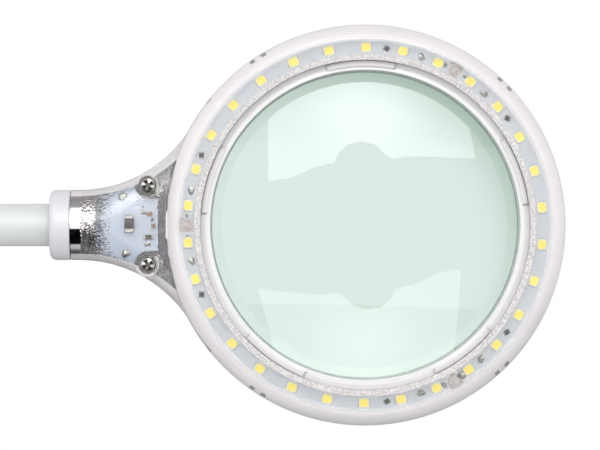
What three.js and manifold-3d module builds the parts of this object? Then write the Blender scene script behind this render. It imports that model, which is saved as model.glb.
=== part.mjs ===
// Desk magnifying lamp: a glass lens in a ring of white LEDs, on a bendable arm with a weighted base.
// Millimetres, +Z up. The origin is the centre of the base's underside. The lit side of the head
// faces -Y, and the arm reaches out towards +X.

import * as THREE from "three";
import { mergeVertices } from "three/addons/utils/BufferGeometryUtils.js";
import Module from "manifold-3d";

const wasm = await Module();
wasm.setup();

// ---------------------------------------------------------------- driving dimensions

const GAP = 0.3; // left between two pieces that touch
const RING_SIDES = 48; // facets round the head and the base
const ROUND_SIDES = 20; // facets round the arm and other middle-sized turned pieces
const PIN_SIDES = 12; // facets round screws, holes and posts

// Head frame: x along the neck and away from the arm, y up, z towards the lit side.
const HEAD_X = 147.4; // lens centre from the base's centre
const HEAD_Z = 250; // lens centre above the table
const HEAD_RADIUS = 65;
const HEAD_FRONT = 12;
const HEAD_BACK = -10;
const RIM_WALL = 1.8;
const SPLIT_BACK = 2; // top of the rear housing's edge
const SPLIT_FRONT = SPLIT_BACK + GAP; // bottom of the front cover's edge
const CAVITY_RADII = [55.2, HEAD_RADIUS - RIM_WALL]; // the ring-shaped space that holds the LED boards
const CAVITY_BOTTOM = -8.2;
const SEAT_RADIUS = 53.4; // well that the lens drops into

const LENS_RADIUS = 52.8;
const LENS_EDGE = [-3.5, -0.5]; // back and front of the lens's edge
const LENS_FRONT_CURVE = 260; // the two faces make 3.1 dioptres in crown glass
const LENS_BACK_CURVE = 458;
const LEDGE_INNER_RADIUS = 49.8; // narrowest ring of the rear housing, behind the lens
const LEDGE_HEIGHTS = [-5.7, -4.3];
const LENS_RING_RADII = [50.3, 53.1];
const LENS_RING_HEIGHTS = [0.3, 9.5];
const LENS_RING_STEP = [51.4, 8.4]; // radius and height of the step along its inner edge
const LUG_TOP = 10.5;
const LUG_COUNT = 5;
const LUG_DEGREES = 24;
const FIRST_LUG_DEGREES = 19.6;

const BOARD_RADII = [54.9, 60.9];
const BOARD_THICK = 1.6;
const BOARD_COUNT = 3;
const BOARD_GAP_DEGREES = 4.4;
const LED_COUNT = 30;
const LED_CIRCLE = 57.96;
const LED_SIZE = [3.4, 3.5, 0.8]; // radial, tangential, thick

const NECK_END = -95.4; // open end that the ferrule turns in
const NECK_RADIUS = 11.4;
const NECK_FLARE_START = -93;
const NECK_FLARE_RADIUS = 42.5; // fillet that sweeps the neck into the head's circle
const NECK_FLARE_END = -56.2; // where the fillet touches the head's circle
const NECK_FLAT_HALF_HEIGHT = 8.6;
const NECK_WALL = 1.4;
const NECK_ROUND_UNTIL = -87; // the neck is a round tube up to here
const NECK_FLAT_FROM = -72; // and a flat box with soft edges from here
const BOSS_AT = [-70.4, 12.9];
const BOSS_RADIUS = 4.05;
const BOSS_TOP = 8.4;
const SCREW_HEAD_RADIUS = 2.7;
const COVER_SCREW_TOP = 7.1;
const COUNTERBORE_FLOOR = 4.9;
const SCREW_SHANK_RADIUS = 1.3;
const CLEARANCE_HOLE_RADIUS = 1.7; // for a screw to pass through
const PILOT_HOLE_RADIUS = 1.6; // for a screw to bite into
const RIB_RADII = [9.2, 10.6]; // ring inside the neck that sits in the ferrule's groove
const RIB_X = [-91.6, -90.2];
const DRIVER_BOARD_X = [-86, -67.3];
const BOARD_POST_AT = [-80, 6];
const BOARD_POST_RADIUS = 1.8;

// Arm: one centre line, measured in millimetres along it from the table.
const ARM_X = -45;
const ARM_RADIUS = 6.9;
const ARM_BORE = 1.6;
const ARM_BEND_START = 190; // length of the upright stretch
const ARM_BEND_RADIUS = 60;
const ARM_BEND_LENGTH = (ARM_BEND_RADIUS * Math.PI) / 2;
const ARM_START = 26.7;
const ARM_END = 317.35;
const HINGE_AT = [70, 115, 160, ARM_BEND_START + ARM_BEND_LENGTH / 2];
const HINGE_HALF_GAP = 4;
const BALL_RADIUS = 5;
const SPIGOT_RADIUS = 4.9;
const SPIGOT_BORE = SPIGOT_RADIUS + GAP;

const COLLAR_RADIUS = 11.4;
const COLLAR_ROUNDING = 2;
const COLLAR_LENGTH = 6.7;
const COLLAR_OVER_ARM = 3.1; // how far it reaches back over the arm's end
const FERRULE_RADIUS = 9.7;
const FERRULE_END = -87; // in the head's frame
const GROOVE_RADIUS = 8.8;
const GROOVE_X = [-92, -89.8];

// Base
const BASE_RADIUS = 75;
const BASE_TOP = 24;
const BASE_EDGE_ROUNDING = 12;
const BASE_WALL = 2.4;
const COVER_BOTTOM = 2.4; // just above the table, so that the foot pad carries the lamp
const PAD_THICK = 2.2;
const PLATE_TOP = 4.2;
const WEIGHT_BOTTOM = PLATE_TOP + GAP;
const WEIGHT_TOP = 14.5;
const WEIGHT_RADIUS = 68;
const PAD_RADIUS = 70;
const PLATE_RADIUS = 72;
const STEM_BOTTOM = 5;
const STEM_RADIUS = 4.7;
const STEM_HOLE_RADIUS = STEM_RADIUS + GAP;
const STEM_BORE = 2;
const STEM_FLANGE_RADIUS = 9;
const STEM_FLANGE_THICK = 2;
const STEM_TOP = 40;
const NUT_RADIUS = 8.6;
const NUT_THICK = 5;
const BUTTON_AT = [35, 0];
const BUTTON_RADIUS = 9;
const BUTTON_FLANGE_RADIUS = 11;
const BUTTON_HEIGHTS = [19, 25.8];
const SWITCH_PLUNGER_TOP = 18.5;
const BASE_SCREW_AT = [30, 42];
const BASE_SCREW_HEAD_RADIUS = 2.9;
const SOCKET_Z = 10;
const SOCKET_REACH = 75.6;
const SOCKET_NOSE_RADIUS = 4;
const SOCKET_BORE = 3.2;
const SOCKET_PIN_RADIUS = 1.05;

// ---------------------------------------------------------------- geometry helpers

// A closed three.js geometry as a solid that can be cut and joined.
function solidOf(geometry) {
  const bare = geometry.clone();
  bare.deleteAttribute("normal");
  bare.deleteAttribute("uv");
  const merged = mergeVertices(bare, 1e-4);
  const mesh = new wasm.Mesh({
    numProp: 3,
    vertProperties: merged.attributes.position.array,
    triVerts: new Uint32Array(merged.index.array),
  });
  return new wasm.Manifold(mesh);
}

function geometryOf(solid) {
  const mesh = solid.getMesh();
  const geometry = new THREE.BufferGeometry();
  geometry.setAttribute("position", new THREE.BufferAttribute(mesh.vertProperties, 3));
  geometry.setIndex(new THREE.BufferAttribute(mesh.triVerts, 1));
  geometry.computeVertexNormals();
  return geometry;
}

// A profile of [radius, z] points turned about Z. It runs from the axis to the axis, or round a hollow ring.
function turned(profile, sides) {
  const outline = profile.map(([radius, z]) => new THREE.Vector2(radius, z));
  if (profile[0][0] > 0) outline.push(outline[0].clone());
  if (THREE.ShapeUtils.area(outline) < 0) outline.reverse();
  return new THREE.LatheGeometry(outline, sides).rotateX(Math.PI / 2);
}

// The same profile turned about the X axis, with z read as x.
function turnedAboutX(profile, sides) {
  return turned(profile, sides).rotateY(Math.PI / 2);
}

function arcPoints(centre, radius, fromDegrees, toDegrees, steps) {
  const points = [];
  for (let i = 0; i <= steps; i++) {
    const angle = THREE.MathUtils.degToRad(THREE.MathUtils.lerp(fromDegrees, toDegrees, i / steps));
    points.push([centre[0] + radius * Math.cos(angle), centre[1] + radius * Math.sin(angle)]);
  }
  return points;
}

function rod(radius, low, high, [x, y] = [0, 0], sides = PIN_SIDES) {
  const geometry = new THREE.CylinderGeometry(radius, radius, high - low, sides).rotateX(Math.PI / 2);
  return solidOf(geometry.translate(x, y, (low + high) / 2));
}

function block(low, high) {
  const size = high.map((value, i) => value - low[i]);
  const centre = high.map((value, i) => (value + low[i]) / 2);
  return solidOf(new THREE.BoxGeometry(...size).translate(...centre));
}

// A piece of a flat ring, centred on the +X direction.
function sector([inner, outer], degrees, low, high, curveSegments) {
  const half = THREE.MathUtils.degToRad(degrees / 2);
  const shape = new THREE.Shape();
  shape.absarc(0, 0, outer, -half, half, false);
  shape.absarc(0, 0, inner, half, -half, true);
  const options = { depth: high - low, bevelEnabled: false, curveSegments };
  return new THREE.ExtrudeGeometry(shape, options).translate(0, 0, low);
}

// A skin over rings of points that all have the same count, closed at both ends.
function loft(rings) {
  const count = rings[0].length;
  const positions = rings.flat().flatMap((point) => point.toArray());
  const faces = [];
  for (let i = 0; i + 1 < rings.length; i++) {
    for (let j = 0; j < count; j++) {
      const here = i * count + j;
      const beside = i * count + ((j + 1) % count);
      faces.push(here, beside, here + count);
      faces.push(beside, beside + count, here + count);
    }
  }
  const last = (rings.length - 1) * count;
  for (let j = 1; j + 1 < count; j++) {
    faces.push(0, j + 1, j);
    faces.push(last, last + j, last + j + 1);
  }
  const geometry = new THREE.BufferGeometry();
  geometry.setAttribute("position", new THREE.Float32BufferAttribute(positions, 3));
  geometry.setIndex(faces);
  return geometry;
}

function union(first, ...others) {
  return others.reduce((sum, other) => sum.add(other), first);
}

function cut(first, ...others) {
  return others.reduce((rest, other) => rest.subtract(other), first);
}

function material(color, roughness, metalness = 0, opacity = 1) {
  return new THREE.MeshStandardMaterial({
    color,
    roughness,
    metalness,
    opacity,
    transparent: opacity < 1,
  });
}

function piece(name, shape, look) {
  const geometry = shape.isBufferGeometry ? shape : geometryOf(shape);
  const mesh = new THREE.Mesh(geometry, look);
  mesh.name = name;
  return mesh;
}

// ---------------------------------------------------------------- materials

const clearPlastic = material(0xebe7e8, 0.15, 0, 0.45);
const lensGlass = material(0xe5f2ea, 0.02, 0, 0.35);
const ringPlastic = material(0xe8e9e8, 0.2, 0, 0.6);
const boardCoat = material(0xd5dee6, 0.45);
const ledPhosphor = material(0xfff06e, 0.4);
const componentBlack = material(0x2c2a2b, 0.4);
const screwSteel = material(0xb9b8b2, 0.3, 1);
const chrome = material(0xdadada, 0.08, 1);
const whitePlastic = material(0xe9e8ee, 0.35);
const sleeveGrey = material(0xd9dcda, 0.4);
const weightIron = material(0x6c6c6c, 0.6, 1);
const plateSteel = material(0x8e8f90, 0.45, 1);
const padRubber = material(0x2a2a2a, 0.9);
const buttonGrey = material(0xc4c6c8, 0.45);
const socketBlack = material(0x1c1c1c, 0.5);

// ---------------------------------------------------------------- head

// 0 where the neck is a round tube and 1 where it is a flat box.
function neckFlatness(x) {
  return THREE.MathUtils.smoothstep(x, NECK_ROUND_UNTIL, NECK_FLAT_FROM);
}

function neckHalfWidth(x) {
  const along = Math.max(0, x - NECK_FLARE_START);
  const centre = NECK_RADIUS + NECK_FLARE_RADIUS;
  return centre - Math.sqrt(NECK_FLARE_RADIUS ** 2 - along ** 2);
}

function neckHalfHeight(x) {
  return THREE.MathUtils.lerp(NECK_RADIUS, NECK_FLAT_HALF_HEIGHT, neckFlatness(x));
}

// One section across the neck, a superellipse that is a circle where the neck is a round tube.
function neckSection(x, inset) {
  const power = THREE.MathUtils.lerp(2, 3.5, neckFlatness(x));
  const count = 28;
  const points = [];
  for (let i = 0; i < count; i++) {
    const angle = (2 * Math.PI * i) / count;
    const across = Math.sign(Math.cos(angle)) * Math.abs(Math.cos(angle)) ** (2 / power);
    const depth = Math.sign(Math.sin(angle)) * Math.abs(Math.sin(angle)) ** (2 / power);
    const y = across * (neckHalfWidth(x) - inset);
    const z = depth * (neckHalfHeight(x) - inset);
    points.push(new THREE.Vector3(x, y, z));
  }
  return points;
}

function neckLoft(from, inset) {
  const stations = [from, -93, -87, -82, -77, -72, -67, -62, NECK_FLARE_END];
  return solidOf(loft(stations.map((x) => neckSection(x, inset))));
}

function screwBosses(radius, low, high) {
  const [x, y] = BOSS_AT;
  return union(rod(radius, low, high, [x, y], 20), rod(radius, low, high, [x, -y], 20));
}

// The hollow neck with the rib that keeps the ferrule in, before it is split into front and back.
function neckShell() {
  const rimWallMiddle = HEAD_RADIUS - RIM_WALL / 2;
  const outside = cut(neckLoft(NECK_END, 0), rod(rimWallMiddle, -20, 20, [0, 0], RING_SIDES));
  const cavity = cut(neckLoft(NECK_END - 1, NECK_WALL), rod(HEAD_RADIUS + 0.15, -20, 20, [0, 0], RING_SIDES));
  const rib = [
    [RIB_RADII[0], RIB_X[0]],
    [RIB_RADII[1], RIB_X[0]],
    [RIB_RADII[1], RIB_X[1]],
    [RIB_RADII[0], RIB_X[1]],
  ];
  const bosses = screwBosses(BOSS_RADIUS, NECK_WALL / 2 - NECK_FLAT_HALF_HEIGHT, BOSS_TOP);
  return union(cut(outside, cavity), solidOf(turnedAboutX(rib, ROUND_SIDES)), bosses);
}

// Everything in the head's frame between two heights.
function headSlab(low, high) {
  return block([-110, -80, low], [80, 80, high]);
}

function frontRingProfile() {
  const wellRadius = SEAT_RADIUS + 0.2;
  const wellWall = 1;
  const [edge, innerEdge] = [6, 3.2]; // roundings outside and inside
  const innerCentre = [CAVITY_RADII[1] - innerEdge, 7.2];
  return [
    [wellRadius, 0],
    [wellRadius + wellWall, 0],
    [wellRadius + wellWall, innerCentre[1] + innerEdge],
    ...arcPoints(innerCentre, innerEdge, 90, 0, 2),
    [CAVITY_RADII[1], 0],
    [HEAD_RADIUS, 0],
    ...arcPoints([HEAD_RADIUS - edge, HEAD_FRONT - edge], edge, 0, 90, 3),
    [wellRadius, HEAD_FRONT],
  ];
}

function frontCover(shell) {
  const ring = solidOf(turned(frontRingProfile(), RING_SIDES));
  const body = union(ring, shell).intersect(headSlab(SPLIT_FRONT, 20));
  const counterbores = screwBosses(SCREW_HEAD_RADIUS + GAP, COUNTERBORE_FLOOR, HEAD_FRONT);
  return cut(body, counterbores, screwBosses(CLEARANCE_HOLE_RADIUS, 0, HEAD_FRONT));
}

function rearRingProfile() {
  const edge = 4;
  const corner = 2.6; // chamfer where the cavity's wall meets its floor
  const boardLedge = [60.2, 0.4]; // step that carries the outer edge of the LED boards, and its underside
  const top = 4;
  return [
    [SEAT_RADIUS, HEAD_BACK],
    ...arcPoints([HEAD_RADIUS - edge, HEAD_BACK + edge], edge, -90, 0, 3),
    [HEAD_RADIUS, top],
    [boardLedge[0], top],
    boardLedge,
    [CAVITY_RADII[1], boardLedge[1]],
    [CAVITY_RADII[1], CAVITY_BOTTOM + corner],
    [CAVITY_RADII[1] - corner, CAVITY_BOTTOM],
    [CAVITY_RADII[0], CAVITY_BOTTOM],
    [CAVITY_RADII[0], top],
    [SEAT_RADIUS, top],
    [SEAT_RADIUS, LEDGE_HEIGHTS[1]],
    [LEDGE_INNER_RADIUS, LEDGE_HEIGHTS[1]],
    [LEDGE_INNER_RADIUS, LEDGE_HEIGHTS[0]],
    [SEAT_RADIUS, LEDGE_HEIGHTS[0]],
  ];
}

function rearHousing(shell) {
  const ring = solidOf(turned(rearRingProfile(), RING_SIDES));
  const [x, y] = BOARD_POST_AT;
  const posts = [y, -y].map((postY) => rod(BOARD_POST_RADIUS, CAVITY_BOTTOM, SPLIT_BACK, [x, postY]));
  const pilotHoles = screwBosses(PILOT_HOLE_RADIUS, -5, 3);
  const wireSlot = block([-67, -2.5, -5], [-62, 2.5, -0.5]);
  const body = union(ring, shell).intersect(headSlab(-20, SPLIT_BACK));
  return cut(union(body, ...posts), pilotHoles, wireSlot);
}

function lens() {
  const [back, front] = LENS_EDGE;
  const depth = (radius, curve) => Math.sqrt(curve ** 2 - radius ** 2);
  const crown = (radius, curve) => depth(radius, curve) - depth(LENS_RADIUS, curve);
  const radii = [0, 14, 27, 40, LENS_RADIUS];
  const backFace = radii.map((radius) => [radius, back - crown(radius, LENS_BACK_CURVE)]);
  const frontFace = radii.map((radius) => [radius, front + crown(radius, LENS_FRONT_CURVE)]).reverse();
  return turned([...backFace, ...frontFace], RING_SIDES);
}

function lensRing() {
  const [inner, outer] = LENS_RING_RADII;
  const [low, high] = LENS_RING_HEIGHTS;
  const [stepRadius, stepHeight] = LENS_RING_STEP;
  const profile = [
    [inner, low],
    [outer, low],
    [outer, high],
    [stepRadius, high],
    [stepRadius, stepHeight],
    [inner, stepHeight],
  ];
  const ring = solidOf(turned(profile, RING_SIDES));
  const lugs = [];
  for (let i = 0; i < LUG_COUNT; i++) {
    const angle = THREE.MathUtils.degToRad(FIRST_LUG_DEGREES + (360 * i) / LUG_COUNT);
    const lug = sector([stepRadius - 0.4, outer - 0.1], LUG_DEGREES, stepHeight - 0.4, LUG_TOP, 4);
    lugs.push(solidOf(lug.rotateZ(angle)));
  }
  return union(ring, ...lugs);
}

function ledBoard() {
  const degrees = 360 / BOARD_COUNT - BOARD_GAP_DEGREES;
  return sector(BOARD_RADII, degrees, SPLIT_FRONT, SPLIT_FRONT + BOARD_THICK, 12);
}

// Outline of the driver board: it follows the neck's sides and is cut away round the two screw bosses.
function driverBoard() {
  const inset = 2.6;
  const clearance = 4.5;
  const [bossX, bossY] = BOSS_AT;
  const [low, high] = DRIVER_BOARD_X;
  const side = [];
  for (let x = low; x < bossX - clearance; x += 2) side.push([x, neckHalfWidth(x) - inset]);
  const shape = new THREE.Shape();
  shape.moveTo(high, bossY - clearance);
  shape.absarc(bossX, bossY, clearance, 1.5 * Math.PI, Math.PI, true);
  side.toReversed().forEach(([x, y]) => shape.lineTo(x, y));
  side.forEach(([x, y]) => shape.lineTo(x, -y));
  shape.absarc(bossX, -bossY, clearance, Math.PI, 0.5 * Math.PI, true);
  shape.lineTo(high, clearance - bossY);
  const options = { depth: BOARD_THICK, bevelEnabled: false, curveSegments: 4 };
  return new THREE.ExtrudeGeometry(shape, options).translate(0, 0, SPLIT_FRONT);
}

function driverDiode() {
  const top = SPLIT_FRONT + BOARD_THICK + GAP;
  const body = block([-78.1, -1.35, top], [-75.1, 2.35, top + 2]);
  const leads = block([-77.5, -2.4, top], [-75.7, 3.4, top + 0.7]);
  return union(body, leads);
}

// A cross-head screw with the top of its head at z = 0. The length is its shank's.
function screw(headRadius, headHeight, length) {
  const profile = [
    [0, -headHeight - length],
    [SCREW_SHANK_RADIUS * 0.5, -headHeight - length],
    [SCREW_SHANK_RADIUS, -headHeight - length + 1],
    [SCREW_SHANK_RADIUS, -headHeight],
    [headRadius, -headHeight],
    [headRadius, -headHeight * 0.45],
    [headRadius * 0.7, 0],
    [0, 0],
  ];
  const arm = headRadius * 0.55;
  const slot = 0.4;
  const cross = union(block([-arm, -slot, -1.1], [arm, slot, 1]), block([-slot, -arm, -1.1], [slot, arm, 1]));
  return geometryOf(cut(solidOf(turned(profile, 16)), cross));
}

function headGroup() {
  const head = new THREE.Group();
  head.position.set(HEAD_X, 0, HEAD_Z);
  head.rotation.x = Math.PI / 2;
  const shell = neckShell();
  head.add(piece("front_cover", frontCover(shell), clearPlastic));
  head.add(piece("rear_housing", rearHousing(shell), clearPlastic));
  head.add(piece("lens", lens(), lensGlass));
  head.add(piece("lens_ring", lensRing(), ringPlastic));
  head.add(piece("driver_board", driverBoard(), boardCoat));
  head.add(piece("driver_diode", driverDiode(), componentBlack));

  for (let i = 0; i < BOARD_COUNT; i++) {
    const board = piece("led_board_" + (i + 1), ledBoard(), boardCoat);
    board.rotation.z = (2 * Math.PI * i) / BOARD_COUNT;
    head.add(board);
  }
  const ledGeometry = new THREE.BoxGeometry(...LED_SIZE);
  const ledMiddle = SPLIT_FRONT + BOARD_THICK + GAP + LED_SIZE[2] / 2;
  for (let i = 0; i < LED_COUNT; i++) {
    const led = piece("led_" + String(i + 1).padStart(2, "0"), ledGeometry, ledPhosphor);
    const angle = (2 * Math.PI * (i + 0.5)) / LED_COUNT;
    led.position.set(LED_CIRCLE * Math.cos(angle), LED_CIRCLE * Math.sin(angle), ledMiddle);
    led.rotation.z = angle;
    head.add(led);
  }
  for (const [name, side] of [["upper", 1], ["lower", -1]]) {
    const coverScrew = piece("cover_screw_" + name, screw(SCREW_HEAD_RADIUS, 1.9, 8.2), screwSteel);
    coverScrew.position.set(BOSS_AT[0], side * BOSS_AT[1], COVER_SCREW_TOP);
    head.add(coverScrew);
  }
  return head;
}

// ---------------------------------------------------------------- arm

// Point of the arm's centre line at a length along it from the table.
function armPoint(length) {
  const beyond = length - ARM_BEND_START - ARM_BEND_LENGTH;
  if (length <= ARM_BEND_START) return new THREE.Vector3(ARM_X, 0, length);
  if (beyond >= 0) return new THREE.Vector3(ARM_X + ARM_BEND_RADIUS + beyond, 0, HEAD_Z);
  const turn = (length - ARM_BEND_START) / ARM_BEND_RADIUS;
  const x = ARM_X + ARM_BEND_RADIUS * (1 - Math.cos(turn));
  return new THREE.Vector3(x, 0, ARM_BEND_START + ARM_BEND_RADIUS * Math.sin(turn));
}

class ArmCurve extends THREE.Curve {
  constructor(from, to) {
    super();
    this.from = from;
    this.to = to;
  }

  getPoint(t) {
    return armPoint(THREE.MathUtils.lerp(this.from, this.to, t));
  }
}

function ballAt(length, radius) {
  const point = armPoint(length);
  return solidOf(new THREE.SphereGeometry(radius, 12, 8).translate(point.x, point.y, point.z));
}

// A straight rod along the arm's centre line, for bores through its ends.
function armBore(from, to, radius) {
  const [start, end] = [armPoint(from), armPoint(to)];
  const geometry = new THREE.CylinderGeometry(radius, radius, start.distanceTo(end), PIN_SIDES);
  const upright = new THREE.Vector3(0, 1, 0);
  const turn = new THREE.Quaternion().setFromUnitVectors(upright, end.clone().sub(start).normalize());
  geometry.applyQuaternion(turn);
  const middle = start.clone().lerp(end, 0.5);
  return solidOf(geometry.translate(middle.x, middle.y, middle.z));
}

function armTube(from, to) {
  const shape = new THREE.Shape();
  shape.absarc(0, 0, ARM_RADIUS, 0, 2 * Math.PI, false);
  const bore = new THREE.Path();
  bore.absarc(0, 0, ARM_BORE, 0, 2 * Math.PI, true);
  shape.holes.push(bore);
  const bends = to > ARM_BEND_START;
  const options = {
    steps: bends ? 9 : 1,
    extrudePath: new ArmCurve(from, to),
    bevelEnabled: false,
    curveSegments: 8,
  };
  return solidOf(new THREE.ExtrudeGeometry(shape, options));
}

// One length of the arm between two hinges: a ball at its far end, a cup for the last ball at its near end.
function armSegment(index) {
  const hasCup = index > 0;
  const hasBall = index < HINGE_AT.length;
  const from = hasCup ? HINGE_AT[index - 1] + HINGE_HALF_GAP : ARM_START;
  const to = hasBall ? HINGE_AT[index] - HINGE_HALF_GAP : ARM_END;
  let segment = armTube(from, to);
  if (hasCup) segment = cut(segment, ballAt(HINGE_AT[index - 1], BALL_RADIUS + GAP));
  else segment = cut(segment, armBore(from - 1, from + 14.5, SPIGOT_BORE));
  if (!hasBall) return cut(segment, armBore(to - 11.5, to + 1, SPIGOT_BORE));
  const ball = ballAt(HINGE_AT[index], BALL_RADIUS);
  const bore = armBore(to - 1.5, to + HINGE_HALF_GAP + BALL_RADIUS + 1, ARM_BORE);
  return cut(union(segment, ball), bore);
}

// A sleeve that covers the joint between the arm and its neighbour, with its rounded end towards -z.
function collarProfile() {
  const step = COLLAR_LENGTH / 2;
  return [
    [ARM_RADIUS + GAP, 0],
    ...arcPoints([COLLAR_RADIUS - COLLAR_ROUNDING, COLLAR_ROUNDING], COLLAR_ROUNDING, -90, 0, 4),
    [COLLAR_RADIUS, COLLAR_LENGTH],
    [FERRULE_RADIUS + GAP, COLLAR_LENGTH],
    [FERRULE_RADIUS + GAP, step],
    [ARM_RADIUS + GAP, step],
  ];
}

// The turned metal plug in the arm's end that the head swivels on. Its groove holds the neck's rib.
function swivelFerrule() {
  const shoulder = armPoint(ARM_END).x + 0.7 - HEAD_X;
  const wireBore = 3;
  const profile = [
    [wireBore, shoulder - 11],
    [SPIGOT_RADIUS, shoulder - 11],
    [SPIGOT_RADIUS, shoulder],
    [FERRULE_RADIUS, shoulder],
    [FERRULE_RADIUS, GROOVE_X[0]],
    [GROOVE_RADIUS, GROOVE_X[0]],
    [GROOVE_RADIUS, GROOVE_X[1]],
    [FERRULE_RADIUS, GROOVE_X[1]],
    [FERRULE_RADIUS, FERRULE_END - 0.6],
    [FERRULE_RADIUS - 0.6, FERRULE_END],
    [wireBore, FERRULE_END],
  ];
  const moved = profile.map(([radius, x]) => [radius, x + HEAD_X]);
  return turnedAboutX(moved, ROUND_SIDES);
}

function armGroup() {
  const arm = new THREE.Group();
  for (let i = 0; i <= HINGE_AT.length; i++) {
    arm.add(piece("arm_segment_" + (i + 1), armSegment(i), sleeveGrey));
  }
  const tip = armPoint(ARM_END);
  const neckCollar = piece("neck_collar", turnedAboutX(collarProfile(), ROUND_SIDES), whitePlastic);
  neckCollar.position.set(tip.x - COLLAR_OVER_ARM, 0, HEAD_Z);
  arm.add(neckCollar);
  const ferrule = piece("swivel_ferrule", swivelFerrule(), chrome);
  ferrule.position.set(0, 0, HEAD_Z);
  arm.add(ferrule);
  return arm;
}

// ---------------------------------------------------------------- base

function baseCover() {
  const inner = BASE_RADIUS - BASE_WALL;
  const ceiling = BASE_TOP - BASE_WALL;
  const edge = BASE_EDGE_ROUNDING;
  const edgeCentre = [BASE_RADIUS - edge, BASE_TOP - edge];
  const profile = [
    [inner, COVER_BOTTOM],
    [BASE_RADIUS, COVER_BOTTOM],
    ...arcPoints(edgeCentre, edge, 0, 90, 6),
    [0, BASE_TOP],
    [0, ceiling],
    ...arcPoints(edgeCentre, edge - BASE_WALL, 90, 0, 4),
  ];
  const [x, y] = BASE_SCREW_AT;
  const shell = solidOf(turned(profile, RING_SIDES));
  const bosses = [y, -y].map((bossY) => rod(4, WEIGHT_TOP + GAP, ceiling + 1, [x, bossY]));
  const pilots = [y, -y].map((pilotY) => rod(PILOT_HOLE_RADIUS, 10, 20, [x, pilotY]));
  const stemHole = rod(STEM_HOLE_RADIUS, 10, 30, [ARM_X, 0], ROUND_SIDES);
  const buttonHole = rod(BUTTON_RADIUS + 0.4, 10, 30, BUTTON_AT, ROUND_SIDES);
  const socketHole = socketNose(SOCKET_NOSE_RADIUS + GAP, 60, 80);
  return cut(union(shell, ...bosses), ...pilots, stemHole, buttonHole, socketHole);
}

// A rod along +Y at the power socket's height.
function socketNose(radius, from, to) {
  const geometry = new THREE.CylinderGeometry(radius, radius, to - from, 20);
  return solidOf(geometry.translate(0, (from + to) / 2, SOCKET_Z));
}

function powerSocket() {
  const body = block([-5.5, 61, 5.2], [5.5, 71.2, 13.8]);
  const nose = socketNose(SOCKET_NOSE_RADIUS, 70, SOCKET_REACH);
  const pin = socketNose(SOCKET_PIN_RADIUS, 63, SOCKET_REACH - 1);
  return union(cut(union(body, nose), socketNose(SOCKET_BORE, 64, 80)), pin);
}

function baseWeight() {
  const [x, y] = BASE_SCREW_AT;
  const disc = rod(WEIGHT_RADIUS, WEIGHT_BOTTOM, WEIGHT_TOP, [0, 0], RING_SIDES);
  const nutPocket = rod(NUT_RADIUS + 0.9, 0, STEM_BOTTOM + NUT_THICK + 0.5, [ARM_X, 0], ROUND_SIDES);
  const stemHole = rod(STEM_HOLE_RADIUS, 0, 20, [ARM_X, 0], ROUND_SIDES);
  const screwHoles = [y, -y].map((holeY) => rod(CLEARANCE_HOLE_RADIUS, 0, 20, [x, holeY]));
  const socketNotch = block([-6, 60.5, 0], [6, 80, 20]);
  return cut(disc, nutPocket, stemHole, ...screwHoles, socketNotch);
}

function drilledDisc(radius, low, high, holeRadius) {
  const [x, y] = BASE_SCREW_AT;
  const holes = [y, -y].map((holeY) => rod(holeRadius, -5, 20, [x, holeY]));
  return cut(rod(radius, low, high, [0, 0], RING_SIDES), ...holes);
}

// The threaded stem that clamps the arm to the base. Its axis is the arm's, and z is measured from the table.
function armStem() {
  const shoulder = BASE_TOP + GAP;
  const flangeTop = shoulder + STEM_FLANGE_THICK;
  const profile = [
    [STEM_BORE, STEM_BOTTOM],
    [STEM_RADIUS, STEM_BOTTOM],
    [STEM_RADIUS, shoulder],
    [STEM_FLANGE_RADIUS, shoulder],
    [STEM_FLANGE_RADIUS, flangeTop],
    [SPIGOT_RADIUS, flangeTop],
    [SPIGOT_RADIUS, STEM_TOP],
    [STEM_BORE, STEM_TOP],
  ];
  return turned(profile, ROUND_SIDES);
}

function lockNut() {
  const hexagon = new THREE.CylinderGeometry(NUT_RADIUS, NUT_RADIUS, NUT_THICK, 6).rotateX(Math.PI / 2);
  hexagon.translate(0, 0, STEM_BOTTOM + NUT_THICK / 2);
  return cut(solidOf(hexagon), rod(STEM_HOLE_RADIUS, 0, 20, [0, 0], ROUND_SIDES));
}

// A cap with a flange under the cover, a hollow for the switch below and a dished top.
function powerButton() {
  const [bottom, top] = BUTTON_HEIGHTS;
  const flangeTop = bottom + 2;
  const hollow = [3.2, bottom + 1.3];
  const profile = [
    [0, hollow[1]],
    hollow,
    [hollow[0], bottom],
    [BUTTON_FLANGE_RADIUS, bottom],
    [BUTTON_FLANGE_RADIUS, flangeTop],
    [BUTTON_RADIUS, flangeTop],
    [BUTTON_RADIUS, top - 1.2],
    [BUTTON_RADIUS - 1.2, top],
    [3, top - 0.5],
    [0, top - 0.6],
  ];
  return turned(profile, ROUND_SIDES);
}

function switchBody() {
  const floor = WEIGHT_TOP + GAP;
  return union(block([-6, -6, floor], [6, 6, 17.2]), rod(2.5, floor, SWITCH_PLUNGER_TOP));
}

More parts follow.
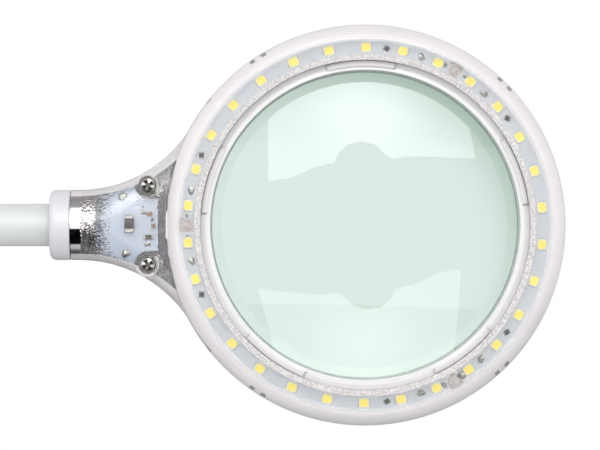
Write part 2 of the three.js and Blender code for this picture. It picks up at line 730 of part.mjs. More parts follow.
function baseGroup() {
  const base = new THREE.Group();
  const pad = drilledDisc(PAD_RADIUS, 0, PAD_THICK, BASE_SCREW_HEAD_RADIUS + 0.5);
  const plate = drilledDisc(PLATE_RADIUS, PAD_THICK + GAP, PLATE_TOP, CLEARANCE_HOLE_RADIUS);
  base.add(piece("foot_pad", pad, padRubber));
  base.add(piece("base_plate", plate, plateSteel));
  base.add(piece("base_weight", baseWeight(), weightIron));
  base.add(piece("base_cover", baseCover(), whitePlastic));
  base.add(piece("power_socket", powerSocket(), socketBlack));

  const button = piece("power_button", powerButton(), buttonGrey);
  button.position.set(...BUTTON_AT, 0);
  const switchBox = piece("switch_body", switchBody(), socketBlack);
  switchBox.position.set(...BUTTON_AT, 0);
  base.add(button, switchBox);

  const stem = piece("arm_stem", armStem(), screwSteel);
  const nut = piece("arm_lock_nut", lockNut(), screwSteel);
  const collar = piece("arm_base_collar", turned(collarProfile(), ROUND_SIDES), whitePlastic);
  collar.rotation.x = Math.PI;
  collar.position.z = BASE_TOP + GAP + COLLAR_LENGTH;
  const fittings = new THREE.Group();
  fittings.position.x = ARM_X;
  fittings.add(stem, nut, collar);
  base.add(fittings);

  for (const [name, side] of [["left", 1], ["right", -1]]) {
    const baseScrew = piece("base_screw_" + name, screw(BASE_SCREW_HEAD_RADIUS, 1.4, 16), screwSteel);
    baseScrew.rotation.x = Math.PI;
    baseScrew.position.set(BASE_SCREW_AT[0], side * BASE_SCREW_AT[1], 0.7);
    base.add(baseScrew);
  }
  return base;
}

// ---------------------------------------------------------------- the lamp

const lamp = new THREE.Group();
lamp.name = "magnifying_lamp";
lamp.add(baseGroup(), armGroup(), headGroup());

export default lamp;
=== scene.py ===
import math
import random

import bpy
import bmesh
from mathutils import Matrix, Vector

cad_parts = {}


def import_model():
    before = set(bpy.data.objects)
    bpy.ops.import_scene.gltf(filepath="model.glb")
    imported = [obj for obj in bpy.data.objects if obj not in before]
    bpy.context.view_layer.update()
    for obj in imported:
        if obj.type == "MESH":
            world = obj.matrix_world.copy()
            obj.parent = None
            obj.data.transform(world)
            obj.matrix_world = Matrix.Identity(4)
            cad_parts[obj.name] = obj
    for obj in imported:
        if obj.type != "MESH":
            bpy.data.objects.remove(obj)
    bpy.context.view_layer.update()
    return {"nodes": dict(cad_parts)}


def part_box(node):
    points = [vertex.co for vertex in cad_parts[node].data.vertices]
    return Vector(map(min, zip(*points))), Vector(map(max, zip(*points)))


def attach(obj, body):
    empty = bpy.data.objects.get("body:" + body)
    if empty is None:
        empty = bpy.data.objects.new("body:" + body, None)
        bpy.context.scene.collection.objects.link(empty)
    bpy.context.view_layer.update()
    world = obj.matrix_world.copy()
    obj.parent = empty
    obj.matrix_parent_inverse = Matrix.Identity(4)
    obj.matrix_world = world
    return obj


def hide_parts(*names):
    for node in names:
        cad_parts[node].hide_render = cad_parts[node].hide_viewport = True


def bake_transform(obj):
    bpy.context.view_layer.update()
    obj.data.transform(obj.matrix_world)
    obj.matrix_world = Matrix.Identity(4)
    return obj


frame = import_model()

# ---------------------------------------- driving dimensions
# Millimetres unless a name says otherwise. Head frame: x away from the arm, y up, z towards the lit side.

MM = 0.001
TO_METRES = Matrix.Scale(MM, 4)
GAP = 0.3
RING_SIDES = 192
ROUND_SIDES = 96

lens_low, lens_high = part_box("lens")
HEAD_CENTRE = Vector(((lens_low.x + lens_high.x) / 2, 0.0, (lens_low.z + lens_high.z) / 2))
TO_HEAD = Matrix.Translation(HEAD_CENTRE) @ Matrix.Rotation(math.pi / 2, 4, "X") @ TO_METRES

HEAD_RADIUS = (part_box("rear_housing")[1].x - HEAD_CENTRE.x) / MM
HEAD_FRONT = -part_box("front_cover")[0].y / MM
HEAD_BACK = -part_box("rear_housing")[1].y / MM
BEYOND_HEAD = 20.0
RIM_WALL = 1.8
SPLIT_BACK = 2.0
SPLIT_FRONT = SPLIT_BACK + GAP
SEAT_RADIUS = 53.4
LENS_RADIUS = (lens_high.x - lens_low.x) / 2 / MM
LENS_FRONT_CURVE = 260.0
LENS_BACK_CURVE = 458.0
LENS_EDGE = (-3.5, -0.5)
LENS_BEVEL = 0.25
LENS_RING_RADII = (50.1, 53.1)
WELL_RADIUS = 53.3
WELL_EDGE = 55.3
RIM_START = 60.0
RIM_DROP = 6.0
RIM_POWER = 1.6
HAZE_EDGES = (59.4, 60.2, 61.0)
BOARD_RADII = (54.9, 60.9)
BOARD_TOP = SPLIT_FRONT + 1.6
BOARD_COUNT = 3
BOARD_GAP_DEGREES = 4.4
LED_COUNT = 30
LED_CIRCLE = 57.66
LED_SIZE = (3.4, 3.5, 0.75)
LED_ROUNDING = 0.9
HOOK_DEGREES = (45.3, 122.8, 237.1, 313.7)
HOOK_SPREAD_DEGREES = 1.9
HOOK_RADII = (63.75, 64.65)
HOOK_HALF_WIDTH = 0.7
HOOK_HEIGHTS = (3.3, 8.5)

NECK_END = -95.4
NECK_RADIUS = 11.4
NECK_FLARE_START = -93.0
NECK_FLARE_RADIUS = 42.5
NECK_FLARE_END = -56.2
NECK_FLAT_HALF_HEIGHT = 8.6
NECK_ROUND_POWER = 2.0
NECK_FLAT_POWER = 3.5
NECK_WALL = 1.4
NECK_HAZE_FROM = 0.82  # a share of its half width
# Up to this share of its half width, the neck's inside has painted shade.
NECK_DARK_UNTIL = 0.60  # a share of its half width
NECK_POLISHED_UNTIL = -92.0
NECK_RIB_RADII = (9.2, 10.6)
NECK_RIB_X = (-91.6, -90.2)
NECK_ROUND_UNTIL = -87.0
NECK_FLAT_FROM = -72.0
BOSS_AT = (-70.4, 12.9)
BOSS_RADIUS = 4.05
BOSS_FOOT = -7.8
BOSS_TOP = 8.4
BOSS_CHAMFER = 0.4
SCREW_HEAD_RADIUS = 2.7
SCREW_SHANK = 1.3
SCREW_TOP = 7.1
SCREW_SEAT = 4.9

COLLAR_LENGTH = 6.7
COLLAR_RADIUS = 11.4
ARM_RADIUS = 6.9
ARM_X = (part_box("arm_segment_1")[0].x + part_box("arm_segment_1")[1].x) / 2 / MM
ARM_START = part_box("arm_segment_1")[0].z / MM
ARM_BEND_RADIUS = 60.0
ARM_BEND_LENGTH = ARM_BEND_RADIUS * math.pi / 2
ARM_BEND_START = HEAD_CENTRE.z / MM - ARM_BEND_RADIUS
SLEEVE_ENDS = (92.5, 137.5, 182.0)
ARM_END = ARM_BEND_START + ARM_BEND_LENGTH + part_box("arm_segment_5")[1].x / MM - ARM_X - ARM_BEND_RADIUS

BASE_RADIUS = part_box("base_cover")[1].x / MM
BASE_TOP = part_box("base_cover")[1].z / MM
BASE_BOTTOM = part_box("base_cover")[0].z / MM
SOCKET_HEIGHT = 10.0

random.seed(7)

# ---------------------------------------- mesh helpers


def add_object(name, data):
    obj = bpy.data.objects.new(name, data)
    bpy.context.scene.collection.objects.link(obj)
    return obj


def mesh_object(name, points, faces, matrix=TO_METRES):
    """An object from points in millimetres. The matrix puts them in their place, in metres."""
    mesh = bpy.data.meshes.new(name)
    mesh.from_pydata([tuple(p) for p in points], [], faces)
    mesh.transform(matrix)
    mesh.update()
    return add_object(name, mesh)


def arc(centre, radius, start, end, steps):
    points = []
    for i in range(steps + 1):
        angle = math.radians(start + (end - start) * i / steps)
        points.append((centre[0] + radius * math.cos(angle), centre[1] + radius * math.sin(angle)))
    return points


def bridge(rings):
    """Faces between each ring of point numbers and the next. A number repeated at a pole counts once."""
    faces = []
    for low, high in zip(rings, rings[1:]):
        for i in range(len(low)):
            j = (i + 1) % len(low)
            face = list(dict.fromkeys((low[i], low[j], high[j], high[i])))
            if len(face) > 2:
                faces.append(face)
    return faces


def turned(name, profile, sides=ROUND_SIDES, axis="Z", shift=(0, 0, 0), matrix=TO_METRES):
    """A profile of (radius, height) points turned about an axis. It closes on itself unless it starts and
    ends on the axis."""
    following = profile[1:] + profile[:1]
    area = sum(a[0] * b[1] - b[0] * a[1] for a, b in zip(profile, following))
    profile = profile if area > 0 else profile[::-1]
    points, rings = [], []
    for radius, height in profile:
        if radius < 1e-6:
            rings.append([len(points)] * sides)
            points.append((0.0, 0.0, height))
            continue
        rings.append(range(len(points), len(points) + sides))
        for i in range(sides):
            angle = 2 * math.pi * i / sides
            points.append((radius * math.cos(angle), radius * math.sin(angle), height))
    if profile[0][0] > 1e-6:
        rings.append(rings[0])
    if axis == "X":
        points = [(z, y, -x) for x, y, z in points]
    if axis == "Y":
        points = [(x, z, -y) for x, y, z in points]
    return mesh_object(name, [Vector(p) + Vector(shift) for p in points], bridge(rings), matrix)


def loft(name, rings, matrix=TO_METRES):
    """A skin over rings of points, closed at both ends."""
    count = len(rings[0])
    numbers = [range(k * count, (k + 1) * count) for k in range(len(rings))]
    faces = [*bridge(numbers), tuple(reversed(numbers[0])), tuple(numbers[-1])]
    return mesh_object(name, [p for ring in rings for p in ring], faces, matrix)


def rectangle(across, along):
    """A profile with four corners, from two radii and two heights."""
    return [(across[0], along[0]), (across[1], along[0]), (across[1], along[1]), (across[0], along[1])]


BOX_FACES = [(0, 1, 3, 2), (4, 6, 7, 5), (0, 4, 5, 1), (2, 3, 7, 6), (0, 2, 6, 4), (1, 5, 7, 3)]


def slab(low, high, matrix=TO_METRES):
    corners = [(x, y, z) for x in (low[0], high[0]) for y in (low[1], high[1]) for z in (low[2], high[2])]
    return mesh_object("tool", corners, BOX_FACES, matrix)


def rod(radius, low, high, at=(0, 0), sides=48, matrix=TO_METRES):
    return turned("tool", rectangle((0, radius), (low, high)), sides, shift=(*at, 0), matrix=matrix)


def combine(target, tools, operation):
    """Joins, cuts or keeps the overlap of the target and each tool in turn. The tools are used up."""
    for tool in tools:
        modifier = target.modifiers.new("combine", "BOOLEAN")
        modifier.operation = operation
        modifier.solver = "MANIFOLD"
        modifier.object = tool
        graph = bpy.context.evaluated_depsgraph_get()
        result = bpy.data.meshes.new_from_object(target.evaluated_get(graph))
        result.materials.clear()
        target.modifiers.clear()
        before = target.data
        target.data = result
        bpy.data.meshes.remove(before)
        bpy.data.objects.remove(tool)
    return target


def join(target, *tools):
    return combine(target, tools, "UNION")


def cut(target, *tools):
    return combine(target, tools, "DIFFERENCE")


def keep(target, *tools):
    return combine(target, tools, "INTERSECT")


def zone(obj, choose):
    """Gives each face the material number that choose picks for its centre in the head frame."""
    to_local = TO_HEAD.inverted()
    for face in obj.data.polygons:
        face.material_index = choose(to_local @ face.center)


def piece(obj, body, looks, nodes=(), smooth_degrees=35):
    """Finishes one visible piece: its shading, materials, the CAD nodes it stands for and its body."""
    obj.data.shade_smooth()
    obj.data.set_sharp_from_angle(angle=math.radians(smooth_degrees))
    for look in looks:
        obj.data.materials.append(MATERIALS[look])
    if nodes:
        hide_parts(*nodes)
    if body:
        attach(obj, body)
    return obj


# ---------------------------------------- materials

MATERIALS = {}


class Nodes:
    """Short ways to add nodes to a tree. What a node is fed is a value or another node's socket."""

    def __init__(self, tree):
        self.tree = tree

    def feed(self, socket, value):
        if isinstance(value, bpy.types.NodeSocket):
            self.tree.links.new(value, socket)
        else:
            socket.default_value = value

    def node(self, kind, **inputs):
        made = self.tree.nodes.new(kind)
        for key, value in inputs.items():
            self.feed(made.inputs[key.replace("_", " ")], value)
        return made

    def math(self, operation, *values):
        made = self.node("ShaderNodeMath")
        made.operation = operation
        for socket, value in zip(made.inputs, values):
            self.feed(socket, value)
        return made.outputs[0]

    def vector_math(self, operation, first, second):
        made = self.node("ShaderNodeVectorMath")
        made.operation = operation
        self.feed(made.inputs[0], first)
        self.feed(made.inputs[1], second)
        return made.outputs["Value"]

    def mix(self, share, first, second):
        made = self.node("ShaderNodeMix", Factor=share)
        made.data_type = "RGBA"
        for socket, color in zip(made.inputs[6:8], (first, second)):
            self.feed(socket, (*color, 1) if isinstance(color, tuple) else color)
        return made.outputs[2]

    def span(self, value, low, high, to_low=0.0, to_high=1.0):
        """The value eased from one range to another, and held at its ends."""
        made = self.node("ShaderNodeMapRange")
        made.interpolation_type = "SMOOTHSTEP"
        for socket, amount in zip(made.inputs, (value, low, high, to_low, to_high)):
            self.feed(socket, amount)
        return made.outputs["Result"]


class Shader(Nodes):
    """A material, kept in MATERIALS by its name. Helper nodes feed its Principled node."""

    def __init__(self, name, color, roughness, **settings):
        self.material = bpy.data.materials.new(name)
        self.material.use_nodes = True
        super().__init__(self.material.node_tree)
        MATERIALS[name] = self.material
        self.surface = self.tree.nodes["Principled BSDF"]
        self.surface.inputs["Base Color"].default_value = (*color, 1)
        self.surface.inputs["Roughness"].default_value = roughness
        for key, value in settings.items():
            self.surface.inputs[key.replace("_", " ")].default_value = value
        self.place = self.node("ShaderNodeTexCoord").outputs["Object"]

    def noise(self, per_mm, detail=3.0, roughness=0.55):
        made = self.node("ShaderNodeTexNoise", Vector=self.place, Scale=per_mm / MM, Detail=detail)
        made.inputs["Roughness"].default_value = roughness
        return made.outputs["Fac"]

    def tint(self, value, dark, light):
        """Base colour that drifts between two colours with a 0 to 1 value."""
        self.feed(self.surface.inputs["Base Color"], self.mix(value, dark, light))

    def bump(self, value, height):
        made = self.node("ShaderNodeBump", Height=value, Strength=1.0, Distance=height * MM)
        self.feed(self.surface.inputs["Normal"], made.outputs["Normal"])

    def rough(self, value, low, high):
        self.feed(self.surface.inputs["Roughness"], self.span(value, 0.0, 1.0, low, high))

    def show(self, shader):
        """Makes another shader the material's surface."""
        self.feed(self.tree.nodes["Material Output"].inputs["Surface"], shader)


def clear_plastic(name, color, haze, roughness, grain, detail=3.0, speckle=None, fade=None):
    """Clear moulded plastic. Haze is the share of light that it scatters. Grain is the stipple of its mould,
    as dots per mm and height, and speckle is the brightness of its dark dots. Fade is where along the head's
    x the grain dies out."""
    shader = Shader(name, color, roughness, IOR=1.46, Transmission_Weight=1 - haze)
    dots = shader.noise(grain[0], detail, 0.6)
    spots = shader.span(dots, 0.43, 0.57) if speckle else shader.noise(0.12, 2.0)
    shader.tint(spots, tuple(c * (speckle or 0.95) for c in color), color)
    if fade:
        split = shader.node("ShaderNodeSeparateXYZ", Vector=shader.place)
        start, end = (HEAD_CENTRE.x + x * MM for x in fade)
        dots = shader.math("MULTIPLY", dots, shader.span(split.outputs["X"], start, end, 1.0, 0.06))
    shader.bump(dots, grain[1])


def clear_plastics():
    clear_plastic("clear_face", (0.995, 0.985, 0.99), 0.0, 0.02, (0.25, 0.01))
    clear_plastic("clear_edge", (0.97, 0.945, 0.955), 0.25, 0.10, (0.4, 0.02))
    clear_plastic("clear_turn", (0.94, 0.905, 0.915), 0.5, 0.2, (0.5, 0.03))
    clear_plastic("clear_rim", (0.875, 0.845, 0.855), 0.72, 0.25, (0.5, 0.03))
    clear_plastic("clear_grain", (0.95, 0.93, 0.94), 0.0, 0.02, (1.4, 1.7), 0.5, fade=(-87.0, -80.0))
    clear_plastic("clear_back", (0.98, 0.95, 0.955), 0.15, 0.10, (1.1, 0.3))
    # Painted shade: the middle of the neck's inside is dark, for the shade between the board and the ring.
    # Its dark dots are the mould's stipple.
    clear_plastic("clear_shade", (0.20, 0.18, 0.23), 0.12, 0.05, (1.4, 0.7), 1.0, speckle=0.1)
    clear_plastic("clear_mist", (0.78, 0.76, 0.77), 0.25, 0.10, (1.8, 0.6), 1.0, speckle=0.35)
    # The well's wall is tinted darker: painted shade of the gap between the lens ring and the cover. Its dark
    # dots are the mould's stipple.
    clear_plastic("clear_wall_painted_shade", (0.74, 0.715, 0.71), 0.85, 0.3, (1.4, 0.3), speckle=0.7)
    clear_plastic("clear_ring", (0.90, 0.885, 0.895), 0.86, 0.2, (0.6, 0.01))


def coat(
    name, roughness, spots, dark, light, grain=None, shine=None, glow=None, edges=None, detail=3.0, **settings
):
    """A solid material whose colour varies between two, with so many spots per mm. Edges sharpens the spots.
    Grain is its bumps per mm and their height, shine is the spots per mm and the two ends of its roughness,
    and glow is the colour and strength of the light it gives off: the LED phosphor's own light, and painted
    light on the LED boards, the glue and the LED packages."""
    shader = Shader(name, light, roughness, **settings)
    value = shader.noise(spots, detail)
    shader.tint(shader.span(value, *edges) if edges else value, dark, light)
    if grain:
        shader.bump(shader.noise(grain[0]), grain[1])
    if shine:
        shader.rough(shader.noise(shine[0]), *shine[1:])
    if glow:
        shader.surface.inputs["Emission Color"].default_value = (*glow[0], 1)
        shader.surface.inputs["Emission Strength"].default_value = glow[1]


def electronics():
    # Painted light: the LED boards glow a little, as if lit by their LEDs under the clear cover.
    painted_board_light = ((0.84, 0.93, 1.0), 0.14)
    coat("board_coat", 0.35, 0.12, (0.76, 0.87, 0.97), (0.93, 0.95, 0.97), (2.5, 0.01), glow=painted_board_light)
    coat("driver_coat", 0.35, 0.12, (0.52, 0.64, 0.78), (0.78, 0.84, 0.92), (2.5, 0.01))
    # Painted light: the LED packages glow a little, which lifts the shade on their walls.
    painted_package_light = ((1.0, 0.97, 0.72), 0.3)
    coat("led_package", 0.35, 1.5, (0.97, 0.93, 0.62), (0.98, 0.96, 0.76), glow=painted_package_light)
    yellow_glow = ((1.0, 0.82, 0.10), 0.42)
    dark_yellow, light_yellow = (1.0, 0.84, 0.13), (1.0, 0.90, 0.20)
    coat("led_phosphor", 0.3, 3.0, dark_yellow, light_yellow, (6.0, 0.02), glow=yellow_glow, detail=4.0)
    coat("solder", 0.36, 1.4, (0.20, 0.21, 0.18), (0.80, 0.81, 0.74), (1.5, 0.2), Metallic=1.0)
    dark_glue, light_glue = (0.74, 0.66, 0.63), (0.95, 0.93, 0.90)
    # Painted light: the glue glows a little, which lifts the shadow it lies in under the cover.
    painted_glue_light = ((1.0, 0.94, 0.92), 0.1)
    coat("board_glue", 0.35, 0.9, dark_glue, light_glue, (1.2, 0.2), glow=painted_glue_light, edges=(0.4, 0.6))
    coat("chip_black", 0.35, 1.0, (0.02, 0.02, 0.025), (0.06, 0.06, 0.065), (8.0, 0.01))
    coat("chip_brown", 0.4, 1.2, (0.22, 0.12, 0.08), (0.42, 0.26, 0.18), (6.0, 0.01))


def metals():
    steel_shine, plate_shine = (2.0, 0.16, 0.4), (1.0, 0.3, 0.5)
    dark_steel, light_steel = (0.40, 0.39, 0.37), (0.78, 0.77, 0.74)
    coat("screw_steel", 0.25, 0.9, dark_steel, light_steel, (3.0, 0.015), steel_shine, Metallic=1.0)
    # Painted shade: the screws' cross recesses get a near-black steel so that the cross reads dark.
    coat("steel_recess_painted_shade", 0.45, 2.0, (0.05, 0.05, 0.05), (0.2, 0.19, 0.17), (4.0, 0.02), Metallic=1.0)
    coat("weight_iron", 0.6, 0.4, (0.09, 0.09, 0.09), (0.2, 0.19, 0.18), (1.5, 0.08), Metallic=1.0)
    coat("plate_steel", 0.35, 0.6, (0.34, 0.35, 0.36), (0.46, 0.47, 0.48), shine=plate_shine, Metallic=1.0)
    chrome = Shader("chrome", (0.82, 0.82, 0.80), 0.05, Metallic=1.0)
    chrome.rough(chrome.noise(0.3), 0.03, 0.09)
    chrome.bump(chrome.noise(0.25, 1.0), 0.01)


def plastics():
    white_shine, sleeve_shine = (0.15, 0.28, 0.38), (0.2, 0.36, 0.5)
    coat("white_plastic", 0.32, 0.03, (0.585, 0.58, 0.615), (0.62, 0.615, 0.65), (3.0, 0.012), white_shine)
    dark_sleeve, light_sleeve = (0.565, 0.585, 0.57), (0.60, 0.62, 0.605)
    coat("arm_sleeve", 0.42, 0.05, dark_sleeve, light_sleeve, (2.2, 0.015), sleeve_shine, Sheen_Weight=0.15)
    coat("foot_rubber", 0.8, 0.5, (0.022, 0.022, 0.022), (0.05, 0.05, 0.05), (2.0, 0.05))
    coat("button_plastic", 0.4, 0.1, (0.49, 0.51, 0.53), (0.55, 0.57, 0.59), (3.0, 0.015))
    coat("socket_plastic", 0.45, 0.5, (0.012, 0.012, 0.012), (0.035, 0.035, 0.035), (4.0, 0.01))
    # Painted shade: the snap hooks are dark grey, standing for the shade in their notches at the rim.
    coat("snap_hook_painted_shade", 0.4, 1.5, (0.15, 0.15, 0.15), (0.30, 0.30, 0.29), (3.0, 0.02))


clear_plastics()
electronics()
metals()
plastics()
Shader("lens_glass", (0.68, 0.79, 0.735), 0.0, IOR=1.52, Transmission_Weight=1.0)

# ---------------------------------------- head shells


def smooth_step(value, low, high):
    t = min(1.0, max(0.0, (value - low) / (high - low)))
    return t * t * (3 - 2 * t)


def neck_half_width(x):
    along = max(0.0, x - NECK_FLARE_START)
    return NECK_RADIUS + NECK_FLARE_RADIUS - math.sqrt(NECK_FLARE_RADIUS**2 - along**2)


def neck_outline(x, inset):
    """The neck's half width, half height and power at an x: round at the arm, squarer at the ring."""
    flat = smooth_step(x, NECK_ROUND_UNTIL, NECK_FLAT_FROM)
    half_height = NECK_RADIUS + (NECK_FLAT_HALF_HEIGHT - NECK_RADIUS) * flat
    power = NECK_ROUND_POWER + (NECK_FLAT_POWER - NECK_ROUND_POWER) * flat
    return neck_half_width(x) - inset, half_height - inset, power


def neck_section(x, inset, count=112):
    half_width, half_height, power = neck_outline(x, inset)
    points = []
    for i in range(count):
        angle = 2 * math.pi * i / count
        across = math.copysign(abs(math.cos(angle)) ** (2 / power), math.cos(angle))
        depth = math.copysign(abs(math.sin(angle)) ** (2 / power), math.sin(angle))
        points.append(Vector((x, across * half_width, depth * half_height)))
    return points


def neck_loft(start, inset):
    steps = 44
    stride = (NECK_FLARE_END - NECK_FLARE_START) / steps
    stations = [start, *[NECK_FLARE_START + stride * i for i in range(steps + 1)]]
    return loft("neck", [neck_section(x, inset) for x in stations], TO_HEAD)


def boss_pair(profile):
    shifts = [(BOSS_AT[0], side * BOSS_AT[1], 0) for side in (1, -1)]
    return [turned("tool", profile, 64, shift=shift, matrix=TO_HEAD) for shift in shifts]


def head_disc(radius):
    """A disc that goes right through the head."""
    return rod(radius, -BEYOND_HEAD, BEYOND_HEAD, sides=RING_SIDES, matrix=TO_HEAD)


def neck_shell():
    """The hollow neck with its rib and screw bosses, before it is split into front and back."""
    outside = cut(neck_loft(NECK_END, 0), head_disc(HEAD_RADIUS - RIM_WALL / 2))
    cavity = cut(neck_loft(NECK_END - 1, NECK_WALL), head_disc(HEAD_RADIUS + GAP / 2))
    rib = turned("rib", rectangle(NECK_RIB_RADII, NECK_RIB_X), axis="X", matrix=TO_HEAD)
    boss = [
        (0, BOSS_FOOT), (BOSS_RADIUS, BOSS_FOOT), (BOSS_RADIUS, BOSS_TOP - BOSS_CHAMFER),
        (BOSS_RADIUS - BOSS_CHAMFER, BOSS_TOP), (0, BOSS_TOP),
    ]
    return join(cut(outside, cavity), rib, *boss_pair(boss))


def rim_curve(steps):
    """The outer edge of the face, from the side wall up to the flat, which falls faster than a round edge."""
    points = []
    for i in range(steps + 1):
        angle = math.radians(90 * i / steps)
        across = (HEAD_RADIUS - RIM_START) * abs(math.cos(angle)) ** (2 / RIM_POWER)
        fall = RIM_DROP * (1 - math.sin(angle) ** (2 / RIM_POWER))
        points.append((RIM_START + across, HEAD_FRONT - fall))
    return points


def front_ring_profile():
    wall = HEAD_RADIUS - RIM_WALL
    well_wall, ceiling = 54.6, 9.6
    return [
        (WELL_RADIUS, 0), (well_wall, 0), (well_wall, ceiling),
        *arc((well_wall + 0.8, ceiling), 0.8, 180, 90, 4),
        *arc((60, 7.2), 3.2, 90, 0, 10),
        (wall, 0), (HEAD_RADIUS, 0),
        *rim_curve(18),
        (HAZE_EDGES[0], HEAD_FRONT), (WELL_EDGE, HEAD_FRONT),
        *arc((WELL_RADIUS + 0.2, HEAD_FRONT - 0.2), 0.2, 90, 180, 5),
    ]


def head_slab(low, high):
    """A block that holds all of the head and the neck between two heights."""
    return slab((-110, -80, low), (80, 80, high), TO_HEAD)


def hook_boxes(clearance, high):
    """Eight small boxes in the rim, in four pairs, where the two shells snap together."""
    near = (HOOK_RADII[0] - clearance, -HOOK_HALF_WIDTH - clearance, HOOK_HEIGHTS[0] - clearance)
    far = (HOOK_RADII[1] + clearance, HOOK_HALF_WIDTH + clearance, high)
    spread = HOOK_SPREAD_DEGREES
    turns = [math.radians(middle + side) for middle in HOOK_DEGREES for side in (-spread, spread)]
    return [slab(near, far, TO_HEAD @ Matrix.Rotation(turn, 4, "Z")) for turn in turns]


def inside_neck(at):
    """True for a point on the inner side of the neck's wall, beyond its polished end, off the two bosses."""
    if at.x < NECK_POLISHED_UNTIL or at.xy.length < HEAD_RADIUS + 0.05:
        return False
    if (Vector((at.x, abs(at.y))) - Vector(BOSS_AT)).length < BOSS_RADIUS + 0.1:
        return False
    half_width, half_height, power = neck_outline(at.x, NECK_WALL / 2)
    return (abs(at.y) / half_width) ** power + (abs(at.z) / half_height) ** power < 1


def on_neck(at):
    """True for a point on the outer side of the neck, up to where it meets the ring at about x = -51."""
    if at.xy.length < HEAD_RADIUS - 0.7 or at.x > -50:
        return False
    return abs(at.y) < neck_half_width(min(at.x, -52)) + 0.1


RIM_LOOK_FROM = BOARD_RADII[1] - 0.6
FACE_DEPTH = 3.5
COVER_LOOKS = ("clear_face", "clear_edge", "clear_turn", "clear_rim", "clear_grain", "clear_wall_painted_shade")
HOUSING_LOOKS = ("clear_back", "clear_rim", "clear_shade", "clear_mist")


def cover_zone(at):
    """The number in COVER_LOOKS of the look at a point: the face grows hazy towards the rim."""
    radius = at.xy.length
    if inside_neck(at):
        return 4
    if on_neck(at):
        return 2 if abs(at.y) > NECK_HAZE_FROM * neck_half_width(at.x) else 0
    # The well's wall takes the darker tint, painted shade of the gap round the lens ring.
    if radius < WELL_EDGE:
        return 5
    if at.z < HEAD_FRONT - FACE_DEPTH:
        return 3 if radius > RIM_LOOK_FROM else 0
    return sum(radius > edge for edge in HAZE_EDGES)


def housing_zone(at):
    """The number in HOUSING_LOOKS of the look at a point: the middle of the neck's inside has painted shade,
    its sides a lighter tint.
    """
    if inside_neck(at):
        return 3 if abs(at.y) > NECK_DARK_UNTIL * neck_half_width(at.x) else 2
    if on_neck(at):
        return 0
    return 1 if at.xy.length > RIM_LOOK_FROM else 0


def front_cover(shell):
    ring = turned("front_cover_fine", front_ring_profile(), RING_SIDES, matrix=TO_HEAD)
    cover = join(ring, add_object("tool", shell.data.copy()))
    keep(cover, head_slab(SPLIT_FRONT, BEYOND_HEAD))
    pilot = SCREW_SHANK + 0.4
    bore = SCREW_HEAD_RADIUS + GAP
    mouth = bore + 0.35
    counterbore = [
        (0, 0), (pilot, 0), (pilot, SCREW_SEAT), (bore, SCREW_SEAT), (bore, BOSS_TOP - 0.3),
        (mouth, BOSS_TOP + 0.05), (mouth, HEAD_FRONT), (0, HEAD_FRONT),
    ]
    cut(cover, *boss_pair(counterbore), *hook_boxes(0.1, HEAD_FRONT))
    zone(cover, cover_zone)
    piece(cover, "head", COVER_LOOKS, ["front_cover"], 28)


def rear_housing(shell):
    wall = HEAD_RADIUS - RIM_WALL
    floor, ledge, step = -8.2, 50.1, 60.2
    inner_wall = SEAT_RADIUS + 1.8
    profile = [
        *arc((SEAT_RADIUS + 1, HEAD_BACK + 1), 1, 180, 270, 5),
        *arc((HEAD_RADIUS - 4, HEAD_BACK + 4), 4, -90, 0, 14),
        (HEAD_RADIUS, 4), (step, 4), (step, 0.4), (wall, 0.4),
        *arc((wall - 3, -5.2), 3, 0, -90, 6),
        (inner_wall, floor), (inner_wall, 4), (SEAT_RADIUS, 4), (SEAT_RADIUS, -4.3), (ledge - 0.1, -4.3),
        *arc((ledge, -5.0), 0.7, 90, 270, 8),
        (SEAT_RADIUS, -5.7),
    ]
    ring = turned("rear_housing_fine", profile, RING_SIDES, matrix=TO_HEAD)
    housing = keep(join(ring, shell), head_slab(-BEYOND_HEAD, SPLIT_BACK))
    post_radius, post_x, post_y = 1.8, -80, 6
    posts = [rod(post_radius, floor, SPLIT_BACK, (post_x, y), matrix=TO_HEAD) for y in (post_y, -post_y)]
    pilots = boss_pair(rectangle((0, SCREW_SHANK + 0.3), (-5, 3)))
    wire_slot = slab((-67, -2.5, -5), (-62, 2.5, -0.5), TO_HEAD)
    cut(join(housing, *posts), *pilots, wire_slot)
    zone(housing, housing_zone)
    piece(housing, "head", HOUSING_LOOKS, ["rear_housing"], 28)


def snap_hooks():
    # The hooks are dark grey: painted shade of their notches in the rim.
    hooks = hook_boxes(0.0, HOOK_HEIGHTS[1])
    hook = join(hooks[0], *hooks[1:])
    hook.name = "snap_hooks"
    piece(hook, "head", ["snap_hook_painted_shade"])


# ---------------------------------------- lens and its ring


def lens():
    back, front = LENS_EDGE

    def crown(radius, curve):
        return math.sqrt(curve**2 - radius**2) - math.sqrt(curve**2 - LENS_RADIUS**2)

    radii = [LENS_RADIUS * i / 40 for i in range(40)] + [LENS_RADIUS - LENS_BEVEL]
    profile = [(r, back - crown(r, LENS_BACK_CURVE)) for r in radii]
    profile += [(LENS_RADIUS, back + LENS_BEVEL), (LENS_RADIUS, front - LENS_BEVEL)]
    profile += [(r, front + crown(r, LENS_FRONT_CURVE)) for r in reversed(radii)]
    obj = turned("lens_fine", profile, RING_SIDES, matrix=TO_HEAD)
    piece(obj, "head", ["lens_glass"], ["lens"], 30)


def ring_sector(radii, degrees, heights, middle, fall=0.0):
    """A closed piece of a flat ring, centred on an angle. Its top slopes down outwards by the fall."""
    steps = 24
    low, high = heights
    rings = []
    for i in range(steps + 1):
        angle = math.radians(middle - degrees / 2 + degrees * i / steps)
        corners = [(radii[0], low), (radii[1], low), (radii[1], high - fall), (radii[0], high)]
        rings.append([Vector((r * math.cos(angle), r * math.sin(angle), z)) for r, z in corners])
    return loft("tool", rings, TO_HEAD)


